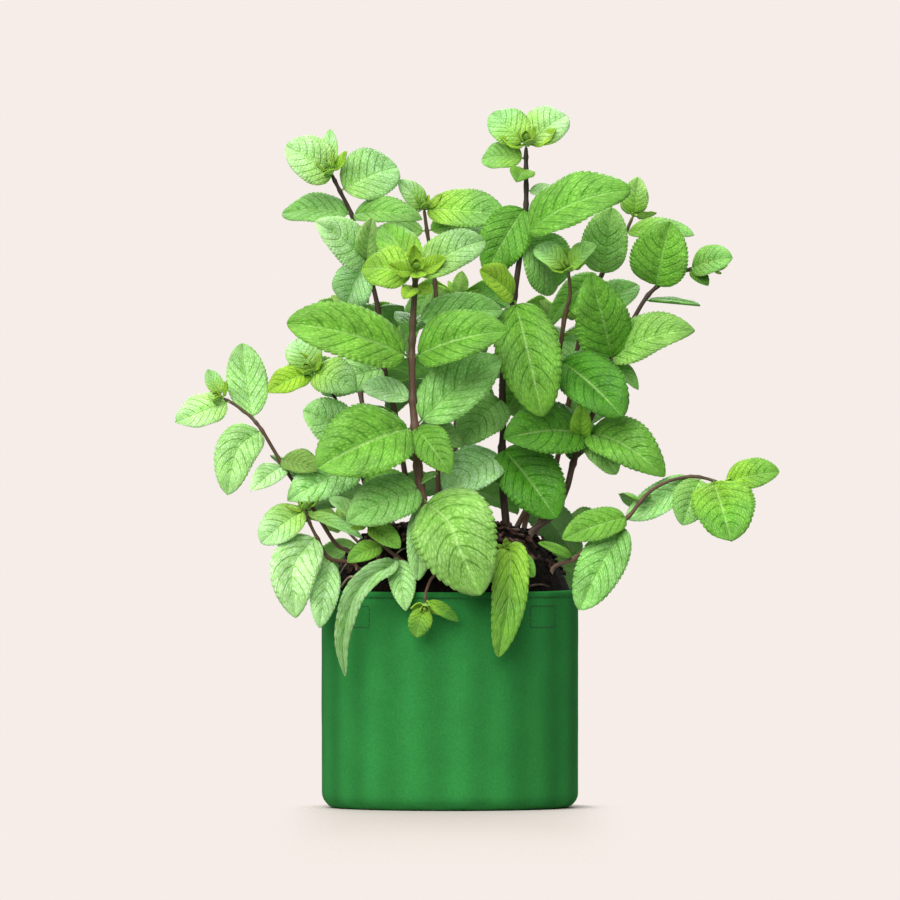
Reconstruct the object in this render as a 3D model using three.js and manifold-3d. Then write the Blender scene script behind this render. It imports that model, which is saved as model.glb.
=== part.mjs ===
// A potted mint plant: a soft green planting bag, heaped potting soil, and leafy stems with toothed leaves.
// Units are millimetres and +Z is up. The viewer stands on the -Y side, and +X is to the viewer's right.
// The origin is the middle of the bag's underside, on its axis.

import * as THREE from "three";
import { mergeVertices } from "three/addons/utils/BufferGeometryUtils.js";
import Module from "manifold-3d";

const wasm = await Module();
wasm.setup();

// Driving dimensions of the bag.
const POT_DIAMETER = 129.6;
const POT_HEIGHT = 109;
const POT_WALL = 2.4;
const POT_FLOOR = 3;
const FOOT_ROUND = 7.5;
const FOLDS = 18;
const FOLD_DEPTH = 0.7;
const HEM_HEIGHT = 3;
const HEM_PROUD = 0.3;
const POT_SIDES = 54;

// Driving dimensions of the soil, which is heaped above the rim.
const SEAT_GAP = 0.3;
const SOIL_EDGE_BELOW_RIM = 3;
const SOIL_HEAP = 35;
const SOIL_SHOULDER = 5;
const SOIL_LUMP = 0.9;
const LUMP_SPACING = [3.1, 5.3, 2.7, 6.1];
const SOIL_RINGS = [1, 0.92, 0.8, 0.6, 0];
const SOIL_SIDES = 24;
const ROOT_DEPTH = 13;
const HOLE_RISE = 8;
const HOLE_LEAN = 0.075;

// Driving dimensions of the stems.
const STEM_STEP = 24;
const BUD_SHOULDER = 0.4;
const BUD_PLUMP = 0.4;
const BUD_POINT = 0.4;

// Driving dimensions of the leaves.
const BLADE = 0.65;
const PETIOLE = 2.6;
const PETIOLE_WIDTH = 0.9;
const PETIOLE_SHARE = 0.04;
const BLADE_TIP = 0.9;
const TOOTH_OUT = 1.04;
const NOTCH_IN = 0.91;
const TOOTH_REACH = 0.018;
const TOOTH_LEAD = 0.36;
const PLAIN_TIP = 0.5;
const LEAF_FOLD = 13;
const CLEARANCE = 0.45;
const SMALL_LEAF = 17;
const MIDDLE_LEAF = 34;
const LARGE_LEAF = 50;

// A leaf that would touch what grows beside it is swung nearer to the viewer or farther away by the first of
// these distances that leaves it clear.
const SWINGS = [0, -4, 4, -8, 8, -12, 12, -17, 17, -23, 23, -30, 30];

const POT_RADIUS = POT_DIAMETER / 2;
const SOIL_RADIUS = POT_RADIUS - HEM_PROUD - FOLD_DEPTH - POT_WALL - SEAT_GAP;
const SOIL_EDGE = POT_HEIGHT - SOIL_EDGE_BELOW_RIM;

// One entry a leafy stem. `foot` is the spot in the soil where it stands, `route` the points that it passes, `thick`
// its thickness at the foot and at the top, and `bud` the length of the bud at its top. A leaf's row
// holds its place along the route (2.5 is halfway from point 2 to point 3), its tip, its width, how far its face is
// tipped from straight up towards the viewer in degrees, and how high it arches. A sixth value folds its two halves
// up by that many degrees, and a seventh gives points that its midrib passes on the way to the tip.
const STEMS = [
  {
    name: "stem_front",
    foot: [-9, -50],
    route: [
      [-13, -49, 147], [-14, -48, 155], [-16, -47, 171], [-17.5, -46, 191], [-18.5, -45, 204],
      [-19, -44, 225], [-18.5, -44, 243], [-17.5, -47, 260], [-17, -53, 269],
    ],
    thick: [5.2, 2.6],
    bud: 8,
    leaves: [
      [1, [15, -78, 108], 43, 80, 6, 13, [[-1.5, -68, 145], [5.5, -77, 129]]],
      [0.8, [-16, -63, 115], 14, 75, 3],
      [1.4, [-51, -66, 144], 27, 65, 4],
      [1.5, [-6, -56, 168], 6, 50, 1],
      [3, [-66, -72, 171], 41, 62, 5],
      [3, [0, -64, 168], 20, 68, 3],
      [3, [6, -34, 182], 14, 60, 2],
      [3, [25, -34, 225], 30, 62, 4],
      [4, [-43, -32, 212], 14, 62, 2],
      [5, [-81, -68, 243], 34, 58, 6],
      [5, [29, -64, 239], 31, 58, 5],
      [6, [26, -22, 249], 21, 58, 3],
      [7.6, [-43, -42, 270], 25, 60, 3],
      [7.6, [-33, -26, 291], 21, 66, 3],
      [7.6, [17, -44, 284], 22, 62, 5],
      [7, [-23, -58, 255], 9, 55, 2],
      [7, [-9, -52, 258], 8, 60, 1],
      [2, [-10, -10, 185], 22, 10, 5],
      [5.6, [-16, -6, 243], 20, 10, 5],
    ],
  },
  {
    name: "stem_upper_left",
    foot: [-17, 4],
    route: [
      [-22, 6, 164], [-28, 8, 199], [-33, 9, 219], [-36, 9, 249], [-42, 9, 273], [-46, 8, 284],
      [-49, 8, 296], [-55, 7, 308], [-60, 6, 318],
    ],
    thick: [3, 1.8],
    bud: 7,
    leaves: [
      [7.6, [-82, 0, 331], 25, 62, 2],
      [8, [-60, 8, 339], 8.5, 65, 2],
      [7, [-26.5, 16, 320], 30, 60, 2],
      [6, [-14, -12, 294], 17, 54, 4],
      [6, [-84, 20, 296.5], 20, 50, 4],
      [4, [-67, -14, 293], 24, 66, 3],
      [4, [-52, 24, 251], 22, 66, 3],
      [4, [-39, -8, 295], 12, 66, 2],
      [3, [-32, 46, 235], 22, -10, 5],
      [2, [-64, -4, 207], 22, 55, 4],
      [1, [-50, -10, 173], 24, 55, 4],
    ],
  },
  {
    name: "stem_middle_back",
    foot: [-5, 15],
    route: [[-6, 17, 164], [-5, 19, 199], [-6.5, 20, 239], [-7.5, 21, 262], [-11.5, 22, 288], [-13, 23, 299]],
    thick: [3.2, 1.6],
    bud: 6,
    leaves: [
      [5, [-26, 16, 313.5], 12, 66, 2],
      [5, [27, 10, 296], 24, 56, 1],
      [4, [21, 38, 289], 18, 50, 3],
      [4, [-42, 34, 279], 18, 50, 4],
      [3, [-20, 40, 223], 22, 40, 4],
      [2.4, [18, 30, 227], 22, 40, 4],
      [2, [-10, 56, 249], 22, -15, 5],
      [1.3, [-30, 44, 195], 22, -10, 5],
      [1, [22, 8, 205], 24, 50, 5],
    ],
  },
  {
    name: "stem_tall",
    foot: [28, -3],
    route: [
      [27, -4, 153], [25.5, -5, 173], [26.5, -6, 188], [26.5, -7, 218], [32, -7, 255], [35, -7, 276],
      [36.5, -7, 285], [38, -6, 301], [38, -5, 319], [38, -5, 331],
    ],
    thick: [4.2, 2],
    bud: 8,
    leaves: [
      [9, [21, 4, 347], 21, 60, 2],
      [8.4, [16, 2, 324], 16, 60, 3],
      [9, [58, 8, 346], 22, 62, 2],
      [8, [33, -18, 313], 13, 55, 1],
      [7.4, [55, -8, 306], 9, 50, 1],
      [6, [90, -16, 309], 30, 54, 9],
      [7, [18, 6, 267], 26, 64, 3],
      [6, [54, 14, 261], 30, 66, 4],
      [4, [15, -24, 269], 19, 58, 2],
      [4, [46, -38, 196], 33, 76, 7],
      [2.6, [5, -22, 182], 25, 60, 3],
      [1.2, [-3, -30, 159], 26, 60, 3],
      [1.5, [53, -30, 145], 32, 66, 4],
    ],
  },
  {
    name: "stem_right_inner",
    foot: [37, 8],
    route: [[42, 7, 159], [48, 4, 189], [54, -4, 224], [58, -9, 248], [60, -10, 257], [59, -11, 269]],
    thick: [3, 1.6],
    bud: 6,
    leaves: [
      [5, [73, -26, 281], 13, 58, 2],
      [5, [42, -8, 280], 13, 60, 3],
      [2, [86, -36, 196], 30, 64, 5],
      [2, [28, 6, 199], 30, 58, 4],
      [3, [74, 2, 245], 20, 50, 4],
    ],
  },
  {
    name: "stem_right_upper",
    foot: [42, 22],
    route: [
      [49, 24, 154], [56, 25, 184], [61, 26, 211], [66, 26, 239], [76, 25, 266], [85, 24, 281], [92, 24, 296],
    ],
    thick: [3.2, 1.6],
    bud: 6,
    leaves: [
      [6, [94, 16, 315], 14, 66, 1],
      [5.4, [122, 10, 286], 14, 50, 3],
      [4, [81, 8, 300], 24, 70, 3],
      [4, [50, 44, 239], 20, 40, 4],
      [3, [94, 40, 261], 20, 50, 4],
      [2, [66, 58, 231], 22, -10, 5],
      [1, [84, 36, 205], 22, 40, 5],
    ],
  },
  {
    name: "stem_right",
    foot: [40, -12],
    route: [
      [51, -11, 146], [58, -10, 159], [61.5, -9, 172], [67, -7, 187], [74, -4, 203], [81, -1, 224], [90, 1, 241],
      [99, 2, 256], [109, 3, 264], [120, 3, 269], [130, 3, 271],
    ],
    thick: [3.8, 1.5],
    bud: 5,
    leaves: [
      [9, [141, -10, 275], 17, 62, 2],
      [9, [129, -6, 261], 8, 55, 1],
      [7.4, [110, -10, 293], 30, 68, 3],
      [6.8, [125, -4, 251], 14, 8, 0],
      [5, [122, -20, 239], 27, 56, 6],
      [5, [94, -10, 209], 8, 60, 2],
      [5, [70, -16, 267], 29, 68, 4],
      [4.6, [94, 34, 225], 22, -10, 5],
      [3, [107, -28, 166], 27, 60, 10],
      [3, [83, -22, 167], 15, 66, 2],
      [3, [27, -34, 185], 32, 62, 5],
      [2.7, [66, -26, 202], 11, 66, 2],
      [2, [78, 22, 183], 20, -10, 5],
    ],
  },
  {
    name: "stem_left_low",
    foot: [-32, -8],
    route: [
      [-38, -10, 149], [-47, -12, 177], [-54, -14, 196], [-57, -15, 204], [-61, -16, 210], [-69, -17, 218],
    ],
    thick: [2.8, 1.4],
    bud: 6,
    leaves: [
      [5, [-91, -26, 208], 16, 56, 2],
      [5, [-77, -12, 234], 19, 66, 2],
      [5, [-47, -28, 209], 22, 62, 2],
      [1.3, [-73, -26, 199], 26, 62, 3],
      [0.8, [-81, -32, 154], 25, 64, 3],
      [0.6, [-14, -28, 149], 20, 55, 3],
    ],
  },
  {
    name: "stem_far_left",
    foot: [-50, -12],
    route: [
      [-57, -14, 132], [-66, -16, 146], [-73, -17, 157], [-80, -18, 166], [-88, -18, 179], [-94, -18, 189],
      [-100, -17, 196], [-108, -16, 202], [-114, -15, 205],
    ],
    thick: [2.2, 1.5],
    bud: 5,
    leaves: [
      [7.3, [-137, -24, 193], 19, 60, 0],
      [8, [-121, -10, 219], 9, 64, 1],
      [5.7, [-104, -6, 232], 21, 66, -2],
      [5, [-111, -34, 157], 22, 66, 0, 13, [[-106, -28, 179]]],
      [3.4, [-99, -40, 159], 14, 56, 2],
      [3.6, [-66, -30, 169], 15, 56, 2],
      [3.6, [-78, 12, 165], 16, -5, 4],
    ],
  },
  {
    name: "stem_left_hanging",
    foot: [-47, -28],
    route: [[-60, -31, 125], [-66, -32, 135], [-70, -32, 143], [-72, -31, 150]],
    thick: [2.2, 1.4],
    bud: 5,
    leaves: [
      [1.2, [-77, -44, 96], 25, 80, 2, 13, [[-78, -42, 120]]],
      [0, [-65, -48, 91], 15, 80, 2],
      [3, [-94, -38, 133], 20, 60, 2],
      [2.6, [-43.5, -48, 135.5], 8, 55, 2, 30],
      [2, [-82, -4, 137], 18, 10, 4],
    ],
  },
  {
    name: "stem_far_right",
    foot: [51, -23],
    route: [
      [62, -27, 125], [72, -30, 134], [84, -32, 142.5], [89, -32, 146], [95, -32, 153.5], [101, -32, 159.5],
      [110, -31, 164], [120, -31, 166], [128, -31, 165], [136, -31, 162],
    ],
    thick: [2.3, 1.5],
    bud: 4,
    leaves: [
      [9, [164, -38, 168.5], 18, 58, 2],
      [8.4, [140, -52, 134.5], 32, 64, 2],
      [7.6, [116, -48, 142], 20, 62, 2],
      [7.2, [88, -42, 145], 18, 58, -2],
      [2.6, [64.5, -50, 100], 24, 78, 3],
      [3, [56, -46, 135], 19, 58, 2],
      [4, [92, -6, 149], 18, 5, 4],
      [0, [44, -34, 133], 6, 55, 1],
    ],
  },
  {
    name: "shoot_front_left",
    foot: [-22, -50],
    route: [[-26, -52, 126], [-33, -52, 132], [-41, -50, 142]],
    thick: [2.2, 1.5],
    bud: 5,
    leaves: [
      [
        0, [-52, -53, 67], 14, 62, 0, 36,
        [[-30, -62, 122], [-38, -67, 118], [-46.5, -67, 109], [-51, -64, 97], [-53.5, -58, 83]],
      ],
      [0, [-22, -73, 100], 14, 75, 2],
      [2, [-25, -62, 131], 12, 60, 2],
      [1, [-51, -60, 124], 12, 55, 2],
      [2, [-60, -44, 155], 10, 55, 2, 30],
    ],
  },
  {
    name: "shoot_front_hanging",
    foot: [-5, -57],
    route: [[-9, -63, 116], [-12, -69, 109], [-12.5, -70, 103]],
    thick: [1.8, 1.3],
    bud: 4,
    leaves: [
      [2, [-17, -72, 87], 12, 78, 1],
      [1.6, [4, -73, 95], 7, 70, 1],
    ],
  },
  {
    name: "shoot_front_right",
    foot: [24, -50],
    route: [[27, -53, 124], [28, -56, 131]],
    thick: [2.2, 1.5],
    bud: 3,
    leaves: [
      [1, [24, -67, 77], 20, 76, 0, 24, [[30, -64, 126], [29, -68, 103]]],
      [0, [42, -68, 117], 15, 58, 2],
    ],
  },
  {
    name: "stem_back_left",
    foot: [-28, 26],
    route: [[-34, 34, 151], [-40, 44, 179], [-45, 52, 207], [-47, 58, 231], [-46, 62, 247]],
    thick: [3.4, 1.8],
    bud: 8,
    leaves: [
      [4, [-70, 76, 239], 20, -45, 4],
      [4, [-22, 70, 235], 20, -45, 4],
      [3, [-50, 98, 235], 24, -10, 6],
      [3, [-60, 28, 239], 20, 20, 5],
      [2, [-82, 60, 213], 25, -35, 6],
      [2, [-16, 70, 203], 25, -35, 6],
      [1, [-62, 82, 177], 25, -30, 6],
      [0, [-74, 52, 147], 23, -35, 6],
    ],
  },
  {
    name: "stem_back_middle",
    foot: [2, 38],
    route: [[2, 48, 157], [3, 60, 187], [4, 68, 215], [4, 73, 239], [4, 75, 253]],
    thick: [3.6, 1.8],
    bud: 8,
    leaves: [
      [4, [-20, 90, 251], 20, -45, 4],
      [4, [30, 84, 249], 20, -45, 4],
      [3, [8, 112, 237], 23, -10, 6],
      [2, [-34, 88, 207], 25, -35, 6],
      [2, [42, 86, 211], 25, -35, 6],
      [1, [8, 104, 177], 26, -25, 6],
      [0, [-32, 74, 149], 23, -35, 6],
      [0, [34, 80, 145], 23, -35, 6],
    ],
  },
  {
    name: "stem_back_right",
    foot: [32, 30],
    route: [[40, 38, 153], [47, 46, 181], [53, 52, 209], [56, 56, 233], [57, 58, 245]],
    thick: [3.2, 1.7],
    bud: 7,
    leaves: [
      [4, [80, 68, 251], 20, -45, 4],
      [4, [38, 74, 243], 19, -45, 4],
      [3, [64, 92, 229], 23, -15, 6],
      [2, [90, 56, 213], 25, -32, 6],
      [1, [82, 74, 175], 25, -35, 6],
      [0, [64, 82, 121], 22, -50, 5],
    ],
  },
  {
    name: "shoot_back_low_left",
    foot: [-28, 48],
    route: [[-36, 58, 123], [-44, 68, 129], [-54, 76, 139]],
    thick: [2.2, 1.4],
    bud: 6,
    leaves: [
      [2, [-82, 86, 143], 19, -35, 4],
      [2, [-52, 106, 137], 19, -20, 4],
      [1, [-68, 66, 111], 20, -60, 5],
      [0, [-36, 86, 97], 21, -75, 5],
    ],
  },
  {
    name: "shoot_back_low_right",
    foot: [23, 51],
    route: [[32, 62, 123], [42, 72, 129], [54, 80, 135]],
    thick: [2.2, 1.4],
    bud: 6,
    leaves: [
      [2, [82, 84, 141], 19, -35, 4],
      [2, [52, 110, 133], 19, -20, 4],
      [1, [70, 70, 105], 20, -60, 5],
      [0, [22, 88, 97], 21, -75, 5],
    ],
  },
];

const vector = (x, y, z) => new THREE.Vector3(x, y, z);
const radians = THREE.MathUtils.degToRad;

// A closed geometry as a solid that can be joined and cut. Vertices that coincide are merged first, and
// triangles that shrink to nothing on an axis are dropped.
function solidOf(geometry) {
  const bare = geometry.clone();
  bare.deleteAttribute("normal");
  bare.deleteAttribute("uv");
  const merged = mergeVertices(bare, 1e-4);
  const corners = merged.index.array;
  const triangles = [];
  for (let i = 0; i < corners.length; i += 3) {
    const [a, b, c] = corners.slice(i, i + 3);
    if (a !== b && b !== c && c !== a) triangles.push(a, b, c);
  }
  return new wasm.Manifold(new wasm.Mesh({
    numProp: 3,
    vertProperties: new Float32Array(merged.attributes.position.array),
    triVerts: new Uint32Array(triangles),
  }));
}

// A solid as a named mesh with its own material.
function meshOf(name, solid, colour, roughness) {
  const { numProp, vertProperties, triVerts } = solid.getMesh();
  const geometry = new THREE.BufferGeometry();
  geometry.setAttribute("position", new THREE.BufferAttribute(new Float32Array(vertProperties), numProp));
  geometry.setIndex(new THREE.BufferAttribute(new Uint32Array(triVerts), 1));
  geometry.computeVertexNormals();
  const mesh = new THREE.Mesh(geometry, new THREE.MeshStandardMaterial({ color: colour, roughness, metalness: 0 }));
  mesh.name = name;
  return mesh;
}

// A closed skin through rings of points that run anticlockwise about the way forward. `cap` holds the triangles
// that close an end. The quads in `flipped` take the other diagonal, so that both faces of a thin blade are
// split alike.
function loft(rings, cap, flipped = []) {
  const count = rings[0].length;
  const index = [];
  for (let ring = 0; ring + 1 < rings.length; ring++) {
    for (let k = 0; k < count; k++) {
      const a = ring * count + k;
      const b = ring * count + ((k + 1) % count);
      const c = b + count;
      const d = a + count;
      if (flipped.includes(k)) index.push(a, b, d, b, c, d);
      else index.push(a, b, c, a, c, d);
    }
  }
  const last = (rings.length - 1) * count;
  for (const [a, b, c] of cap) index.push(a, c, b, last + a, last + b, last + c);
  const geometry = new THREE.BufferGeometry().setFromPoints(rings.flat());
  geometry.setIndex(index);
  return geometry;
}

// The part of `direction` that is square to `axis`, as a unit vector.
function squareTo(axis, direction) {
  return direction.clone().addScaledVector(axis, -direction.dot(axis)).normalize();
}

// The bag: one turned wall with a floor, a rounded foot and a hem, whose outside is pressed into soft upright folds.
function potSolid() {
  const inner = POT_RADIUS - HEM_PROUD - FOLD_DEPTH - POT_WALL;
  const wall = POT_RADIUS - HEM_PROUD;
  const profile = [new THREE.Vector2(0, 0)];
  for (let step = 0; step <= 3; step++) {
    const angle = radians(30 * step);
    profile.push(new THREE.Vector2(
      wall - FOOT_ROUND + FOOT_ROUND * Math.sin(angle),
      FOOT_ROUND - FOOT_ROUND * Math.cos(angle),
    ));
  }
  profile.push(new THREE.Vector2(wall, POT_HEIGHT - HEM_HEIGHT));
  profile.push(new THREE.Vector2(POT_RADIUS, POT_HEIGHT - HEM_HEIGHT + HEM_PROUD));
  profile.push(new THREE.Vector2(POT_RADIUS, POT_HEIGHT));
  profile.push(new THREE.Vector2(inner, POT_HEIGHT));
  profile.push(new THREE.Vector2(inner, POT_FLOOR));
  profile.push(new THREE.Vector2(0, POT_FLOOR));
  const geometry = new THREE.LatheGeometry(profile, POT_SIDES).rotateX(Math.PI / 2);
  const place = geometry.attributes.position;
  for (let i = 0; i < place.count; i++) {
    const radius = Math.hypot(place.getX(i), place.getY(i));
    if (radius < inner + FOLD_DEPTH) continue;
    const angle = Math.atan2(place.getY(i), place.getX(i));
    const folded = 1 - (FOLD_DEPTH / radius) * (0.5 + 0.5 * Math.cos(FOLDS * angle));
    place.setXY(i, place.getX(i) * folded, place.getY(i) * folded);
  }
  return solidOf(geometry);
}

// The height of the heaped soil, without its lumps, at a spot on it.
function soilHeight(x, y) {
  return SOIL_EDGE + SOIL_HEAP * (1 - Math.min(1, Math.hypot(x, y) / SOIL_RADIUS) ** SOIL_SHOULDER);
}

// The soil: it fills the bag and is heaped above the rim, with a lumpy top.
function soilSolid() {
  const profile = [new THREE.Vector2(0, POT_FLOOR + SEAT_GAP), new THREE.Vector2(SOIL_RADIUS, POT_FLOOR + SEAT_GAP)];
  for (const share of SOIL_RINGS) {
    profile.push(new THREE.Vector2(SOIL_RADIUS * share, soilHeight(SOIL_RADIUS * share, 0)));
  }
  const geometry = new THREE.LatheGeometry(profile, SOIL_SIDES).rotateX(Math.PI / 2);
  const place = geometry.attributes.position;
  const [a, b, c, d] = LUMP_SPACING;
  for (let i = 0; i < place.count; i++) {
    const [x, y, z] = [place.getX(i), place.getY(i), place.getZ(i)];
    const atWall = Math.hypot(x, y) > SOIL_RADIUS - 1;
    if (z <= SOIL_EDGE || atWall) continue;
    place.setZ(i, z + SOIL_LUMP * (Math.sin(x / a + y / b) + Math.sin(y / c - x / d)));
  }
  return solidOf(geometry);
}

// A stem's middle line, from its foot in the soil through the points of its route.
function stemLine(stem) {
  const [x, y] = stem.foot;
  const ground = soilHeight(x, y);
  const points = [vector(x, y, ground - ROOT_DEPTH), vector(x, y, ground + 1)];
  for (const point of stem.route) points.push(vector(...point));
  return new THREE.CatmullRomCurve3(points, false, "catmullrom", 0.5);
}

// The point of a stem's middle line at a place along its route.
function pointOnStem(line, place) {
  return line.getPoint((place + 2) / (line.points.length - 1));
}

// A stem: four-sided, as mint stems are, slimmer towards its top, and ending in a pointed bud of unopened leaves.
function stemSolid(stem) {
  const line = stemLine(stem);
  const spans = line.points.length - 1;
  const stops = [];
  for (let span = 0; span < spans; span++) {
    const pieces = Math.max(1, Math.round(line.points[span].distanceTo(line.points[span + 1]) / STEM_STEP));
    for (let piece = 0; piece < pieces; piece++) stops.push((span + piece / pieces) / spans);
  }
  stops.push(1);
  const ringAt = (centre, forward, side) => {
    const across = squareTo(forward, vector(0, 1, 0)).multiplyScalar(side / 2);
    const aside = forward.clone().cross(across);
    return [[1, 1], [-1, 1], [-1, -1], [1, -1]].map(([u, v]) => (
      centre.clone().addScaledVector(across, u).addScaledVector(aside, v)
    ));
  };
  const rings = stops.map((stop) => ringAt(line.getPoint(stop), line.getTangent(stop), stemSide(stem, stop)));
  const top = line.getPoint(1);
  const rise = line.getTangent(1);
  rings.push(ringAt(top.clone().addScaledVector(rise, stem.bud * BUD_SHOULDER), rise, stem.bud * BUD_PLUMP));
  rings.push(ringAt(top.clone().addScaledVector(rise, stem.bud), rise, BUD_POINT));
  return solidOf(loft(rings, [[0, 1, 2], [0, 2, 3]]));
}

// The side of a stem's square section at a share of its line.
function stemSide(stem, share) {
  return THREE.MathUtils.lerp(stem.thick[0], stem.thick[1], share);
}

// The plain square hole in the soil that a stem stands in, with a seat's gap under and round it. A stem that leans
// as it leaves the soil bows a little inside the hole, so its hole is wider.
function stemHole(stem) {
  const [x, y] = stem.foot;
  const lean = Math.hypot(stem.route[0][0] - x, stem.route[0][1] - y);
  const side = stem.thick[0] + 2 * (SEAT_GAP + HOLE_LEAN * lean);
  const bottom = soilHeight(x, y) - ROOT_DEPTH - SEAT_GAP;
  const top = soilHeight(x, y) + HOLE_RISE;
  const hole = new THREE.BoxGeometry(side, side, top - bottom).translate(x, y, (top + bottom) / 2);
  return solidOf(hole);
}

// Half the width of a leaf along its blade, 0 at both ends and 1 at its widest.
function outline(along) {
  return 2.23 * along ** 0.5 * (1 - along) ** 0.67;
}

// A leaf's row as named values, with its midrib's curve and the way that its face looks.
function leafOf(base, row, swing) {
  const [, tipPoint, width, face, arch, fold = LEAF_FOLD, passes = []] = row;
  const tip = vector(...tipPoint).add(vector(0, swing, 0));
  const chord = tip.clone().sub(base);
  const looks = vector(0, -Math.sin(radians(face)), Math.cos(radians(face)));
  const up = squareTo(chord.clone().normalize(), looks);
  const lift = up.clone().multiplyScalar((4 / 3) * arch);
  const midrib = passes.length
    ? new THREE.CatmullRomCurve3([base, ...passes.map((point) => vector(...point)), tip], false, "catmullrom", 0.5)
    : new THREE.CubicBezierCurve3(
      base,
      base.clone().addScaledVector(chord, 1 / 3).add(lift),
      base.clone().addScaledVector(chord, 2 / 3).add(lift),
      tip,
    );
  const length = midrib.getLength();
  const teeth = 1 + (length > SMALL_LEAF) + (length > MIDDLE_LEAF);
  return { midrib, up, width, fold: radians(fold), length, teeth };
}

// The stations of a leaf from its root to its tip: how far along the midrib, the half width there and how far
// its edge points reach forward.
function leafStations(leaf) {
  const start = leaf.length > LARGE_LEAF ? PETIOLE / leaf.length + PETIOLE_SHARE : 0;
  const stations = [{ at: 0, half: PETIOLE_WIDTH / 2, forward: 0 }];
  if (start) stations.push({ at: start, half: PETIOLE_WIDTH / 2, forward: 0 });
  const along = (share) => start + (1 - start) * share;
  const widest = leaf.width / 2;
  for (let tooth = 1; tooth <= leaf.teeth; tooth++) {
    const notch = tooth / (leaf.teeth + PLAIN_TIP);
    const point = (tooth - TOOTH_LEAD) / (leaf.teeth + PLAIN_TIP);
    const reach = TOOTH_REACH * leaf.length;
    stations.push({ at: along(point), half: widest * outline(point) * TOOTH_OUT, forward: reach });
    if (tooth === leaf.teeth) break;
    stations.push({ at: along(notch), half: widest * outline(notch) * NOTCH_IN, forward: -reach / 2 });
  }
  stations.push({ at: 1, half: BLADE_TIP / 2, forward: 0 });
  return stations;
}

// A leaf's solid: a thin toothed blade with its two halves folded up along the midrib. `grow` thickens it all
// round, and `from` leaves out its first stations.
function leafSolid(leaf, grow = 0, from = 0) {
  const thick = BLADE / 2 / Math.cos(leaf.fold) + grow;
  const rings = leafStations(leaf).slice(from).map(({ at, half, forward }) => {
    const centre = leaf.midrib.getPoint(at);
    const ahead = leaf.midrib.getTangent(at);
    const up = squareTo(ahead, leaf.up);
    const aside = up.clone().cross(ahead);
    const edge = (side) => centre.clone().addScaledVector(ahead, forward)
      .addScaledVector(aside, side * (half + grow) * Math.cos(leaf.fold))
      .addScaledVector(up, (half + grow) * Math.sin(leaf.fold));
    const top = [edge(1), centre, edge(-1)].map((point) => point.clone().addScaledVector(up, thick));
    const under = [edge(-1), centre, edge(1)].map((point) => point.clone().addScaledVector(up, -thick));
    return [...top, ...under];
  });
  return solidOf(loft(rings, [[0, 1, 4], [0, 4, 5], [1, 2, 3], [1, 3, 4]], [3, 4]));
}

const boxOf = (solid) => {
  const { min, max } = solid.boundingBox();
  return new THREE.Box3(vector(...min), vector(...max));
};

// Whether a leaf stands clear of everything that is in place. Against its own stem and the leaves on it only the
// blade counts, past the root that it grows from, and a small young leaf may nestle against them.
function standsClear(leaf, owner, inPlace) {
  const whole = leafSolid(leaf, CLEARANCE);
  const blade = leafSolid(leaf, CLEARANCE, 2);
  const box = boxOf(whole);
  return inPlace.every((other) => {
    const own = other.owner === owner;
    if (!box.intersectsBox(other.box) || (own && leaf.length < SMALL_LEAF)) return true;
    return (own ? blade.intersect(other.blade) : whole.intersect(other.whole)).isEmpty();
  });
}

const pot = potSolid();
let soil = soilSolid();
for (const stem of STEMS) soil = soil.subtract(stemHole(stem));

const inPlace = [pot, soil].map((solid) => ({ owner: "", whole: solid, blade: solid, box: boxOf(solid) }));
const bodies = new Map();
for (const stem of STEMS) {
  const solid = stemSolid(stem);
  bodies.set(stem.name, solid);
  inPlace.push({ owner: stem.name, whole: solid, blade: solid, box: boxOf(solid) });
}

for (const stem of STEMS) {
  const line = stemLine(stem);
  for (const row of stem.leaves) {
    const base = pointOnStem(line, row[0]);
    const tries = SWINGS.map((swing) => leafOf(base, row, swing));
    const leaf = tries.find((candidate) => standsClear(candidate, stem.name, inPlace));
    if (!leaf) throw new Error(`A leaf of ${stem.name} has no clear place near ${row[1].join(", ")}`);
    const whole = leafSolid(leaf);
    const blade = leafSolid(leaf, 0, 2);
    inPlace.push({ owner: stem.name, whole, blade, box: boxOf(whole) });
    bodies.set(stem.name, bodies.get(stem.name).add(whole));
  }
}

const plant = new THREE.Group();
plant.add(meshOf("pot", pot, 0x358f46, 0.9));
plant.add(meshOf("soil", soil, 0x2a211b, 1));
for (const stem of STEMS) plant.add(meshOf(stem.name, bodies.get(stem.name), 0x6cb848, 0.6));

export default plant;
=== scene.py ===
import math
import random

import bpy
import numpy as np
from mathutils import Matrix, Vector, kdtree, noise
from mathutils.bvhtree import BVHTree


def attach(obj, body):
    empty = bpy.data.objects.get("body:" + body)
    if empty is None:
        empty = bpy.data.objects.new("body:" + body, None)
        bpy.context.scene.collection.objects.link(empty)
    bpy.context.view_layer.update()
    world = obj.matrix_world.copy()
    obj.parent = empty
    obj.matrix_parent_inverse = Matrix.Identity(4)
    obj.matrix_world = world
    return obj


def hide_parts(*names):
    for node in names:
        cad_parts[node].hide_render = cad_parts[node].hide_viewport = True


# The potted mint plant, dressed for its picture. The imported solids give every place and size, and the finer
# pieces here follow the same named sizes, in millimetres, and are turned to metres as their meshes are made.
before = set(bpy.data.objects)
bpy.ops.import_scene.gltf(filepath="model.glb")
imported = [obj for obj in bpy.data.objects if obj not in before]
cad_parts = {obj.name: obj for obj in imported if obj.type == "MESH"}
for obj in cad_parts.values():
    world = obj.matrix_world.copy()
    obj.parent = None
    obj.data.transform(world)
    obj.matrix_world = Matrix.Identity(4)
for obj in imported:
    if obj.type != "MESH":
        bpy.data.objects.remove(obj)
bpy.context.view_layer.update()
MM = 0.001


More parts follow.
